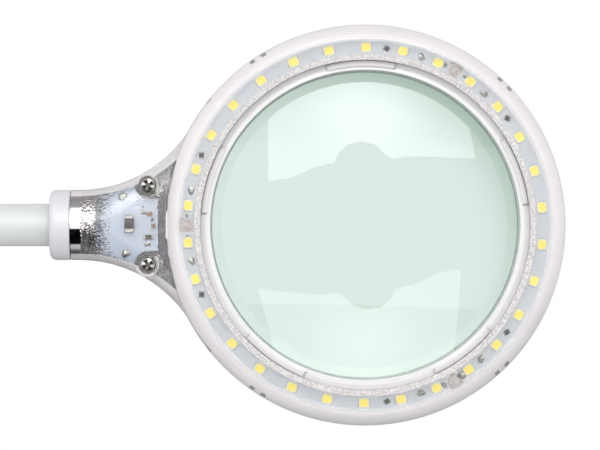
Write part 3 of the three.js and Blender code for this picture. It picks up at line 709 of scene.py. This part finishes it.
def lens_ring():
    """A ring with a lip, two faces that slope away from a shallow groove, and five lugs with notched ends."""
    inner, outer = LENS_RING_RADII
    groove, crest = 51.5, 9.45
    profile = [
        (inner, 0.3), (outer, 0.3), (outer, 8.4), (outer + 0.17, 8.5), (outer + 0.17, 8.75),
        (outer - 0.1, 8.85), (groove + 0.1, crest), (groove, crest - 0.25), (inner + 0.5, crest),
        *arc((inner + 0.3, crest - 0.15), 0.2, 90, 170, 4),
    ]
    ring = turned("lens_ring_fine", profile, RING_SIDES, matrix=TO_HEAD)
    lug_count, first_lug, lug_degrees = 5, 19.6, 24
    middles = [first_lug + 360 / lug_count * i for i in range(lug_count)]
    join(ring, *[ring_sector((groove, outer - 0.1), lug_degrees, (8, 10.5), at, 0.8) for at in middles])
    ends = [at + side * (lug_degrees / 2 + 0.3) for at in middles for side in (1, -1)]
    cut(ring, *[ring_sector((groove - 0.3, outer + 0.3), 0.5, (7.8, 11), end) for end in ends])
    piece(ring, "head", ["clear_ring"], ["lens_ring"], 15)


# ---------------------------------------- circuit boards and what is on them


def led_boards():
    turn = 360 / BOARD_COUNT
    for i in range(BOARD_COUNT):
        board = ring_sector(BOARD_RADII, turn - BOARD_GAP_DEGREES, (SPLIT_FRONT, BOARD_TOP), turn * i)
        board.name = f"led_board_fine_{i + 1}"
        piece(board, "head", ["board_coat"], [f"led_board_{i + 1}"])


def on_ring(degrees, radius, height=BOARD_TOP):
    """The matrix that puts a small part on the ring of boards, its x pointing outwards."""
    turn = Matrix.Rotation(math.radians(degrees), 4, "Z")
    return TO_HEAD @ turn @ Matrix.Translation((radius, 0, height))


def on_driver(x, y, degrees=0.0):
    """The matrix that puts a small part on the neck's board."""
    return TO_HEAD @ Matrix.Translation((x, y, BOARD_TOP)) @ Matrix.Rotation(math.radians(degrees), 4, "Z")


def block(size):
    """A bmesh box that stands on z = 0."""
    bm = bmesh.new()
    bmesh.ops.create_cube(bm, size=1)
    bmesh.ops.scale(bm, vec=size, verts=bm.verts)
    bmesh.ops.translate(bm, vec=(0, 0, size[2] / 2), verts=bm.verts)
    return bm


def soften(bm, edges, offset, segments=2, profile=0.6):
    bmesh.ops.bevel(bm, geom=edges, offset=offset, segments=segments, profile=profile, affect="EDGES")


def add_caps(bm, size, offset, look):
    """Adds a metal end to a small part at either side of its middle. Look is the number of its material."""
    for side in (-1, 1):
        cap = block(size)
        soften(cap, cap.edges[:], 0.06, 1)
        bmesh.ops.translate(cap, vec=(0, side * offset, 0), verts=cap.verts)
        for face in cap.faces:
            face.material_index = look
        mesh = bpy.data.meshes.new("cap")
        cap.to_mesh(mesh)
        cap.free()
        bm.from_mesh(mesh)
        bpy.data.meshes.remove(mesh)


def as_mesh(name, bm, matrix=Matrix.Identity(4)):
    mesh = bpy.data.meshes.new(name)
    bm.to_mesh(mesh)
    bm.free()
    mesh.transform(matrix)
    return mesh


def led_mesh():
    """One LED: a tray with a recessed phosphor window and two metal ends."""

    def top_face():
        return max(bm.faces, key=lambda face: face.normal.z * face.calc_area())

    bm = block(LED_SIZE)
    upright = [e for e in bm.edges if abs(e.verts[0].co.z - e.verts[1].co.z) > LED_SIZE[2] / 2]
    soften(bm, upright, LED_ROUNDING, 5, 0.5)
    soften(bm, top_face().edges[:], 0.1, 2, 0.5)
    window = top_face()
    bmesh.ops.inset_region(bm, faces=[window], thickness=0.25)
    bmesh.ops.inset_region(bm, faces=[window], thickness=0.1, depth=-0.1)
    window.material_index = 1
    add_caps(bm, (2.6, 0.5, 0.3), LED_SIZE[1] / 2 - 0.05, 2)
    return as_mesh("led", bm)


def leds():
    mesh = led_mesh()
    for i in range(LED_COUNT):
        copy = mesh.copy()
        tilt = Matrix.Rotation(math.radians(random.uniform(-2, 2)), 4, "Z")
        copy.transform(on_ring((i + 0.5) * 360 / LED_COUNT - 0.3, LED_CIRCLE, BOARD_TOP + 0.05) @ tilt)
        obj = add_object(f"led_fine_{i + 1:02d}", copy)
        piece(obj, "head", ["led_package", "led_phosphor", "solder"], [f"led_{i + 1:02d}"])


def blob(name, matrix, radius, height, look="solder"):
    """A lump of solder or glue with an uneven outline, standing on its board."""
    bm = bmesh.new()
    bmesh.ops.create_icosphere(bm, subdivisions=4, radius=1)
    phase = [random.uniform(0, 6.28) for _ in range(3)]
    for vert in bm.verts:
        angle = math.atan2(vert.co.y, vert.co.x)
        lobes = 1 + 0.16 * math.sin(2 * angle + phase[0]) + 0.1 * math.sin(3 * angle + phase[1])
        dent = 1 + 0.18 * math.sin(5 * vert.co.x + phase[2]) * math.cos(4 * vert.co.y + phase[0])
        vert.co.x *= radius * lobes
        vert.co.y *= radius * lobes
        vert.co.z = max(-0.1, vert.co.z) * height * dent
    bmesh.ops.recalc_face_normals(bm, faces=bm.faces)
    piece(add_object(name, as_mesh(name, bm, matrix)), "head", [look])


def resistor(name, matrix, size, body="chip_black"):
    """A chip part: a dark block with a metal cap at each end."""
    bm = block((size[0], size[1] * 0.7, size[2]))
    soften(bm, bm.edges[:], 0.08)
    add_caps(bm, (size[0] + 0.04, size[1] * 0.2, size[2] + 0.03), size[1] * 0.4, 1)
    return piece(add_object(name, as_mesh(name, bm, matrix)), "head", [body, "solder"])


# Angles in degrees round the ring, and the radii of the small lumps at the gaps between the boards.
RING_RESISTORS = (36.9, 83.0, 156.9, 203.1, 277.1, 322.9)
RING_SOLDER = (47.9, 71.4, 168.8, 191.6, 288.4, 311.0)
GAP_SOLDER = ((303.0, 1.5), (296.4, 0.9), (63.3, 0.7), (56.2, 0.6), (183.8, 0.6), (177.0, 0.6))
GAP_GLUE = (59.6, 180.4, 299.6)


def ring_parts():
    for i, degrees in enumerate(RING_RESISTORS):
        turn = Matrix.Rotation(math.radians(25 * (-1) ** i), 4, "Z")
        resistor(f"ring_resistor_{i + 1}", on_ring(degrees, 57.6) @ turn, (1.7, 2.3, 0.5))
    for i, degrees in enumerate(RING_SOLDER):
        blob(f"ring_solder_{i + 1}", on_ring(degrees, 57.4), 1.25, 0.3)
    for i, (degrees, radius) in enumerate(GAP_SOLDER):
        blob(f"gap_solder_{i + 1}", on_ring(degrees, 57.9), radius, 0.4)
    stretch = Matrix.Diagonal((1.15, 0.95, 1, 1))
    for i, degrees in enumerate(GAP_GLUE):
        blob(f"gap_glue_{i + 1}", on_ring(degrees, 58.0, BOARD_TOP - 0.3) @ stretch, 2.1, 0.6, "board_glue")


def driver_board():
    """The neck's circuit board: its sides follow the neck, and it is cut away round the two screw bosses."""
    inset, clearance, stride = 2.6, 4.5, 0.5
    low, high = -86.0, -67.3
    side = []
    x = low
    while x < BOSS_AT[0] - clearance:
        side.append((x, neck_half_width(x) - inset))
        x += stride
    round_boss = arc(BOSS_AT, clearance, 180, 270, 12)
    upper = [*side, *round_boss, (high, BOSS_AT[1] - clearance)]
    outline = upper + [(x, -y) for x, y in reversed(upper)]
    rings = [[Vector((x, y, z)) for x, y in outline] for z in (SPLIT_FRONT, BOARD_TOP)]
    board = loft("driver_board_fine", rings, TO_HEAD)
    board.data.flip_normals()
    piece(board, "head", ["driver_coat"], ["driver_board"])


# Places (x, y) and radii of the solder on the neck's board.
DRIVER_SOLDER = (
    (-71.9, 4.1, 0.9), (-70.5, -6.1, 0.9), (-78.8, 9.2, 1.3), (-77.6, -9.2, 1.3),
    (-68.9, 1.8, 0.6), (-72.1, 6.0, 0.4),
)


def driver_parts():
    diode = resistor("driver_diode_fine", on_driver(-76.6, 0.5), (3.0, 5.6, 1.9))
    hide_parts("driver_diode")
    resistor("driver_chip_1", on_driver(-69.8, 3.6, 90), (1.4, 2.2, 0.7), "chip_brown")
    resistor("driver_chip_2", on_driver(-68.7, -0.3), (1.3, 2.2, 0.7), "chip_brown")
    resistor("driver_chip_3", on_driver(-70.3, -3.9, 90), (1.4, 3.4, 0.9))
    for i, (x, y, radius) in enumerate(DRIVER_SOLDER):
        blob(f"driver_solder_{i + 1}", on_driver(x, y), radius, 0.5)


# ---------------------------------------- screws, ferrule and collars


def screw(name, node, body, matrix, head_radius, head_height, length):
    """A cross-head screw. Its top is at z = 0 of the matrix."""
    shank, thread_depth, pitch = SCREW_SHANK, 0.25, 0.8
    tip = -head_height - length
    steps = int((length - 1) / pitch * 2)
    turns = [(shank - thread_depth * (i % 2), tip + 1 + i * pitch / 2) for i in range(steps)]
    profile = [(0, tip), (shank * 0.4, tip), *turns, (shank, -head_height)]
    profile += [(head_radius - 0.05, -head_height), (head_radius, -head_height + 0.1)]
    dome = ((1, 0.5), (0.97, 0.36), (0.9, 0.2), (0.76, 0.08), (0, 0))
    profile += [(head_radius * across, -head_height * down) for across, down in dome]
    obj = turned(name, profile, 64, matrix=matrix)

    reach, half = head_radius * 0.7, 0.55
    mouth = [(-reach, -half), (reach, -half), (reach, half), (-reach, half)]
    low = [Vector((x * 0.5, y * 0.8, -1.35)) for x, y in mouth]
    high = [Vector((x, y, 0.3)) for x, y in mouth]
    for turn in (0, math.pi / 2):
        cut(obj, loft("tool", [low, high], matrix @ Matrix.Rotation(turn + 0.5, 4, "Z")))
    # Faces in the cross take the second, near-black steel: painted shade in the recess.
    to_screw = matrix.inverted()
    for face in obj.data.polygons:
        at = to_screw @ face.center
        face.material_index = int(at.xy.length < reach and -1.4 < at.z < -0.12)
    piece(obj, body, ["screw_steel", "steel_recess_painted_shade"], [node], 40)


def screws():
    for name, side in (("upper", 1), ("lower", -1)):
        matrix = TO_HEAD @ Matrix.Translation((BOSS_AT[0], side * BOSS_AT[1], SCREW_TOP))
        screw(f"cover_screw_fine_{name}", f"cover_screw_{name}", "head", matrix, SCREW_HEAD_RADIUS, 1.9, 8.2)
    for name in ("left", "right"):
        low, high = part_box(f"base_screw_{name}")
        middle = (low + high) / 2
        head_down = Matrix.Rotation(math.pi, 4, "X")
        matrix = Matrix.Translation((middle.x, middle.y, low.z)) @ head_down @ TO_METRES
        screw(f"base_screw_fine_{name}", f"base_screw_{name}", "base", matrix, 2.9, 1.4, 16)


def swivel_ferrule():
    """A plug with a thin tail inside the collar, a groove for the neck's rib, and a bore for the wires."""
    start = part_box("swivel_ferrule")[0].x / MM
    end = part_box("swivel_ferrule")[1].x / MM
    shoulder = start + 11
    bore, tail, plug, groove = 3, 4.9, 9.7, 8.8
    profile = [
        (bore, start), (tail - 0.3, start), (tail, start + 0.4), (tail, shoulder), (plug - 0.3, shoulder),
        (plug, shoulder + 0.3), (plug, end - 5), (groove, end - 5), (groove, end - 2.8), (plug, end - 2.8),
        *arc((plug - 0.7, end - 0.7), 0.7, 0, 90, 6),
        (bore + 0.4, end), (bore, end - 0.4),
    ]
    obj = turned("swivel_ferrule_fine", profile, 128, "X", (0, 0, HEAD_CENTRE.z / MM))
    piece(obj, "arm_tip", ["chrome"], ["swivel_ferrule"], 30)


def collar_profile():
    rounding, bore, hollow = 2.0, ARM_RADIUS + GAP / 2, 10.0
    return [
        (bore, 0.4),
        (ARM_RADIUS + 0.5, 0),
        *arc((COLLAR_RADIUS - rounding, rounding), rounding, -90, 0, 12),
        (COLLAR_RADIUS, COLLAR_LENGTH - 0.25), (COLLAR_RADIUS - 0.25, COLLAR_LENGTH), (hollow, COLLAR_LENGTH),
        (hollow, COLLAR_LENGTH / 2), (bore, COLLAR_LENGTH / 2),
    ]


def collars():
    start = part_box("neck_collar")[0].x / MM
    neck = turned("neck_collar_fine", collar_profile(), 128, "X", (start, 0, HEAD_CENTRE.z / MM))
    piece(neck, "arm_tip", ["white_plastic"], ["neck_collar"], 40)
    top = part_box("arm_base_collar")[1].z / MM
    flipped = [(radius, -z) for radius, z in collar_profile()]
    foot = turned("arm_base_collar_fine", flipped, 128, "Z", (ARM_X, 0, top))
    piece(foot, "base", ["white_plastic"], ["arm_base_collar"], 40)


# ---------------------------------------- arm


def arm_point(length):
    """Point of the arm's centre line at a length along it from the table, and the direction there."""
    beyond = length - ARM_BEND_START - ARM_BEND_LENGTH
    if length <= ARM_BEND_START:
        return Vector((ARM_X, 0, length)), Vector((0, 0, 1))
    if beyond >= 0:
        return Vector((ARM_X + ARM_BEND_RADIUS + beyond, 0, HEAD_CENTRE.z / MM)), Vector((1, 0, 0))
    turn = (length - ARM_BEND_START) / ARM_BEND_RADIUS
    x = ARM_X + ARM_BEND_RADIUS * (1 - math.cos(turn))
    z = ARM_BEND_START + ARM_BEND_RADIUS * math.sin(turn)
    return Vector((x, 0, z)), Vector((math.sin(turn), 0, math.cos(turn)))


def sleeve_mesh(start, end):
    """Points and faces of a hollow length of the sleeve, closed at both ends."""
    sides, wall, bevel = 64, 1.5, 0.06
    steps = max(8, int((end - start) / 1.5))
    stations = [start + (end - start) * i / steps for i in range(steps + 1)]
    first, last = start + 0.01, end - 0.01
    outer = [(ARM_RADIUS, at) for at in stations[1:-1]]
    inner = [(ARM_RADIUS - wall, at) for at in reversed(stations[1:-1])]
    edge = ARM_RADIUS - bevel
    outline = [(ARM_RADIUS - wall, first), (edge, first), *outer, (edge, last), *inner]
    points = []
    for radius, length in outline:
        centre, along = arm_point(length)
        across = Vector((along.z, 0, -along.x))
        for i in range(sides):
            angle = 2 * math.pi * i / sides
            points.append(centre + radius * (math.cos(angle) * across + math.sin(angle) * Vector((0, 1, 0))))
    rings = [range(k * sides, (k + 1) * sides) for k in range(len(outline))]
    return points, bridge([*rings, rings[0]])


def sleeve(name, start, end, nodes):
    points, faces = sleeve_mesh(start, end)
    obj = mesh_object(name, points, faces)
    piece(obj, None, ["arm_sleeve"], nodes, 60)
    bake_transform(obj)


def arm():
    first, second, third = SLEEVE_ENDS
    sleeve("arm_sleeve_1", ARM_START, first, ["arm_segment_1"])
    sleeve("arm_sleeve_2", first, second, ["arm_segment_2"])
    sleeve("arm_sleeve_3", second, third, ["arm_segment_3"])
    last_segments = ["arm_segment_4", "arm_segment_5"]
    sleeve("arm_sleeve_4", third, ARM_END, last_segments)


# ---------------------------------------- base


def middle_of(node):
    """The middle of a CAD node's box, in millimetres."""
    low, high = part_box(node)
    return (low + high) / 2 / MM


def base_screw_places():
    at = middle_of("base_screw_left")
    return [(at.x, side * at.y) for side in (1, -1)]


def base_cover():
    edge, wall = 12.0, 2.4
    inner = BASE_RADIUS - wall
    ceiling = BASE_TOP - wall
    centre = (BASE_RADIUS - edge, BASE_TOP - edge)
    profile = [
        (inner, BASE_BOTTOM), (BASE_RADIUS - 0.5, BASE_BOTTOM), (BASE_RADIUS, BASE_BOTTOM + 0.5),
        *arc(centre, edge, 0, 90, 20),
        (0, BASE_TOP), (0, ceiling),
        *arc(centre, edge - wall, 90, 0, 12),
    ]
    cover = turned("base_cover_fine", profile, RING_SIDES)
    boss_radius, boss_foot, pilot_radius, stem_radius = 4, 14.8, 1.6, 5
    bosses = [rod(boss_radius, boss_foot, ceiling + 1, at) for at in base_screw_places()]
    pilots = [rod(pilot_radius, 10, 20, at) for at in base_screw_places()]
    stem_hole = rod(stem_radius, 10, 30, (ARM_X, 0))
    hole, mouth = 9.4, 10.2
    opening = [(0, 10), (hole, 10), (hole, BASE_TOP - 0.8), (mouth, BASE_TOP + 0.1), (mouth, 30), (0, 30)]
    button_at = middle_of("power_button")
    button_hole = turned("tool", opening, shift=(button_at.x, button_at.y, 0))
    socket_hole = turned("tool", rectangle((0, 4.3), (60, 80)), 64, "Y", (0, 0, SOCKET_HEIGHT))
    cut(join(cover, *bosses), *pilots, stem_hole, button_hole, socket_hole)
    piece(cover, "base", ["white_plastic"], ["base_cover"], 30)


def foot_pad():
    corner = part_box("foot_pad")[1]
    radius, thick = corner.x / MM, corner.z / MM
    edge = [(radius - 0.5, 0), (radius, 0.5), (radius, thick - 0.3), (radius - 0.3, thick)]
    pad = turned("foot_pad_fine", [(0, 0), *edge, (0, thick)], RING_SIDES)
    cut(pad, *[rod(3.4, -1, 4, at) for at in base_screw_places()])
    piece(pad, "base", ["foot_rubber"], ["foot_pad"], 30)


def power_button():
    """A round cap with a flange under the cover and a mark sunk in its top: a ring and a line."""
    at = middle_of("power_button")
    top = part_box("power_button")[1].z / MM
    bottom, flange_top, flange, cap_radius, peg = 19, 21, 11, 9, 3.2
    profile = [
        (0, bottom + 1.3), (peg, bottom + 1.3), (peg, bottom), (flange - 0.3, bottom), (flange, bottom + 0.3),
        (flange, flange_top), (cap_radius, flange_top), (cap_radius, top - 1.4),
        *arc((cap_radius - 1.1, top - 1.3), 1.1, 0, 80, 8),
        (5.0, top - 0.45), (0, top - 0.6),
    ]
    shift = (at.x, at.y, 0)
    cap = turned("power_button_fine", profile, 128, shift=shift)
    sunk = (top - 0.9, top + 1)
    mark_ring = turned("tool", rectangle((2.3, 2.75), sunk), 64, shift=shift)
    mark_line = slab((at.x - 0.25, at.y + 0.4, sunk[0]), (at.x + 0.25, at.y + 3.6, sunk[1]))
    cut(cap, mark_ring, mark_line)
    piece(cap, "button", ["button_plastic"], ["power_button"], 30)


def power_socket():
    """An inlet for a low-voltage plug: a block inside the base, a nose through its wall and a middle pin."""
    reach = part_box("power_socket")[1].y / MM
    place = ("Y", (0, 0, SOCKET_HEIGHT))
    body = slab((-5.5, 61, 5.2), (5.5, 71.2, 13.8))
    nose = turned("tool", [(0, 70), (4, 70), (4, reach - 0.3), (3.7, reach), (0, reach)], 64, *place)
    bore = turned("tool", [(0, 64), (3.2, 64), (3.2, reach - 0.2), (3.5, 80), (0, 80)], 64, *place)
    shell = cut(join(body, nose), bore)
    shell.name = "power_socket_fine"
    piece(shell, "base", ["socket_plastic"], ["power_socket"], 30)
    pin_end, pin_radius, rounding = reach - 1, 1.05, 0.4
    tip = arc((pin_radius - rounding, pin_end - rounding), rounding, 0, 90, 4)
    profile = [(0, 64.02), (pin_radius, 64.02), (pin_radius, pin_end - rounding), *tip, (0, pin_end)]
    piece(turned("power_socket_pin", profile, 32, *place), "base", ["solder"])


def carried_over():
    """Better materials on the CAD nodes that keep their own shape."""
    looks = {
        "base_weight": "weight_iron",
        "base_plate": "plate_steel",
        "arm_stem": "screw_steel",
        "arm_lock_nut": "screw_steel",
        "switch_body": "socket_plastic",
    }
    for name, look in looks.items():
        node = frame["nodes"][name]
        node.data.materials.clear()
        node.data.materials.append(MATERIALS[look])


# ---------------------------------------- studio
# Metres here. The lens's mirror images are placed by points on its face, in millimetres.

CAMERA_DISTANCE = 1.2
CAMERA_LEFT = 0.0211
PICTURE_WIDTH = 0.1955
CARD_PLANE = -1.3
CARD_HOT_SPOT = (0, 40)
CARD_OUTLINE = (
    (-31.4, 14.3), (-24, 15.3), (-17, 18.6), (-10, 20.3), (-8.5, 23.6), (-5.5, 26.2), (-1, 27.2), (3.5, 26),
    (6.5, 22.8), (9, 21.4), (14, 22.4), (36, 21.5), (33, 37), (29.5, 75), (-30, 75), (-31.4, 38),
)
FRONT_LEVEL = 1.62
# Brightness round the world's x, by degrees up from straight ahead of the lit side.
SKY_STOPS = (
    (-180, 0.70), (-120, 0.50), (-100, 0.30), (-90, 0.03), (-24, 0.03), (-14, 0.70),
    (10, 1.0), (62, 1.0), (70, 0.25), (108, 0.25), (120, 0.45), (180, 0.70),
)
SIDE_LEVEL = 0.75
BACKDROP_AIM = (0.038, 1, 0.026)
BACKDROP_EDGE = (0.986, 0.9947)


def camera_place():
    return HEAD_CENTRE + Vector((-CAMERA_LEFT, -CAMERA_DISTANCE - HEAD_FRONT * MM, 0))


def mirrored_place(x, y):
    """The spot on the card plane that the lens's front face mirrors to the camera from its point (x, y)."""
    depth = math.sqrt(LENS_FRONT_CURVE**2 - x * x - y * y)
    crest = LENS_EDGE[1] - math.sqrt(LENS_FRONT_CURVE**2 - LENS_RADIUS**2)
    point = HEAD_CENTRE + Vector((x, -depth - crest, y)) * MM
    normal = Vector((x, -depth, y)).normalized()
    ray = (point - camera_place()).normalized()
    away = ray - 2 * ray.dot(normal) * normal
    return point + away * ((CARD_PLANE - point.y) / away.y)


def softbox():
    """The bright card whose image lies in the upper half of the lens. It shows only in reflections."""
    points = [mirrored_place(x, y) for x, y in CARD_OUTLINE]
    card = mesh_object("softbox", points, [tuple(range(len(points)))], Matrix.Identity(4))
    light = Shader("softbox", (1, 1, 1), 1.0)
    offset = light.vector_math("DISTANCE", light.place, mirrored_place(*CARD_HOT_SPOT))
    emission = light.node("ShaderNodeEmission", Strength=light.span(offset, 0.02, 0.35, 7.5, 4.8))
    light.show(emission.outputs[0])
    card.data.materials.append(light.material)
    card.visible_camera = False
    card.visible_diffuse = False
    card.visible_shadow = False


def world():
    """Pure white behind the object for the camera. Everything that is lit or mirrored sees a soft studio: a
    white backdrop straight behind, a wide light in front, and darker gaps above and below."""
    made = bpy.data.worlds.new("studio")
    bpy.context.scene.world = made
    made.use_nodes = True
    sky = Nodes(made.node_tree)
    direction = sky.node("ShaderNodeTexCoord").outputs["Generated"]
    split = sky.node("ShaderNodeSeparateXYZ", Vector=direction).outputs

    turn = sky.math("ARCTAN2", split["Z"], sky.math("MULTIPLY", split["Y"], -1))
    stops = sky.node("ShaderNodeValToRGB", Fac=sky.math("MULTIPLY_ADD", turn, 1 / (2 * math.pi), 0.5))
    while len(stops.color_ramp.elements) < len(SKY_STOPS):
        stops.color_ramp.elements.new(0.5)
    for element, (degrees, value) in zip(stops.color_ramp.elements, SKY_STOPS):
        element.position = degrees / 360 + 0.5
        element.color = (value, value, value, 1)
    sideways = sky.span(sky.math("ABSOLUTE", split["X"]), 0.75, 0.98)
    around = sky.mix(sideways, stops.outputs[0], (SIDE_LEVEL,) * 3)

    nearness = sky.vector_math("DOT_PRODUCT", direction, Vector(BACKDROP_AIM).normalized())
    cone = sky.span(nearness, *BACKDROP_EDGE)
    backdrop = sky.mix(cone, (0.32, 0.37, 0.345), (1 / FRONT_LEVEL,) * 3)
    studio_light = sky.mix(sky.span(split["Y"], 0.5, 0.9), around, backdrop)

    to_camera = sky.node("ShaderNodeLightPath").outputs["Is Camera Ray"]
    background = sky.tree.nodes["Background"].inputs
    sky.feed(background["Color"], sky.mix(to_camera, studio_light, (1, 1, 1)))
    sky.feed(background["Strength"], sky.math("MULTIPLY_ADD", to_camera, 1 - FRONT_LEVEL, FRONT_LEVEL))


def area_light(name, place, size, power):
    """A rectangular light that points at the head and isn't mirrored by it."""
    data = bpy.data.lights.new(name, "AREA")
    data.shape = "RECTANGLE"
    data.size, data.size_y = size
    data.energy = power
    obj = add_object(name, data)
    obj.location = place
    obj.rotation_euler = (HEAD_CENTRE - Vector(place)).to_track_quat("-Z", "Y").to_euler()
    obj.visible_glossy = False


def floor():
    """A pale round table top. In mirrors it is black, which keeps the chrome's and the lens's dark edges."""
    sides = 128
    turns = [2 * math.pi * i / sides for i in range(sides)]
    rim = [(math.cos(turn), math.sin(turn), 0) for turn in turns]
    table = mesh_object("floor", rim, [tuple(range(sides))], Matrix.Translation((0.05, 0, 0)))
    pale = Shader("floor_pale", (0.86, 0.86, 0.86), 0.6)
    pale.tint(pale.noise(0.004), (0.85, 0.85, 0.85), (0.88, 0.88, 0.88))
    mirrored = pale.math("GREATER_THAN", pale.node("ShaderNodeLightPath").outputs["Glossy Depth"], 0.5)
    unlit = pale.node("ShaderNodeEmission", Strength=0.0)
    either = pale.node("ShaderNodeMixShader", Fac=mirrored)
    pale.feed(either.inputs[1], pale.surface.outputs[0])
    pale.feed(either.inputs[2], unlit.outputs[0])
    pale.show(either.outputs[0])
    table.data.materials.append(pale.material)


def camera():
    """Square on to the lit side, with the lens a little right of the picture's middle."""
    data = bpy.data.cameras.new("camera")
    data.sensor_width = 36
    data.lens = data.sensor_width * (HEAD_CENTRE - camera_place()).y / PICTURE_WIDTH
    obj = add_object("camera", data)
    obj.location = camera_place()
    obj.rotation_euler = (math.pi / 2, 0, 0)
    bpy.context.scene.camera = obj


def settings():
    scene = bpy.context.scene
    scene.view_settings.view_transform = "Standard"
    scene.cycles.transparent_max_bounces = 32
    scene.cycles.max_bounces = 12


# ---------------------------------------- the lamp

camera()
settings()
world()
softbox()
area_light("key", (0.1, -0.9, 1.1), (0.9, 0.6), 2.6)
area_light("fill", (-0.7, -0.8, 0.5), (0.6, 0.6), 0.5)
floor()

neck = neck_shell()
front_cover(neck)
rear_housing(neck)
snap_hooks()
lens()
lens_ring()
led_boards()
leds()
ring_parts()
driver_board()
driver_parts()
screws()
swivel_ferrule()
collars()
arm()
base_cover()
foot_pad()
power_button()
power_socket()
carried_over()
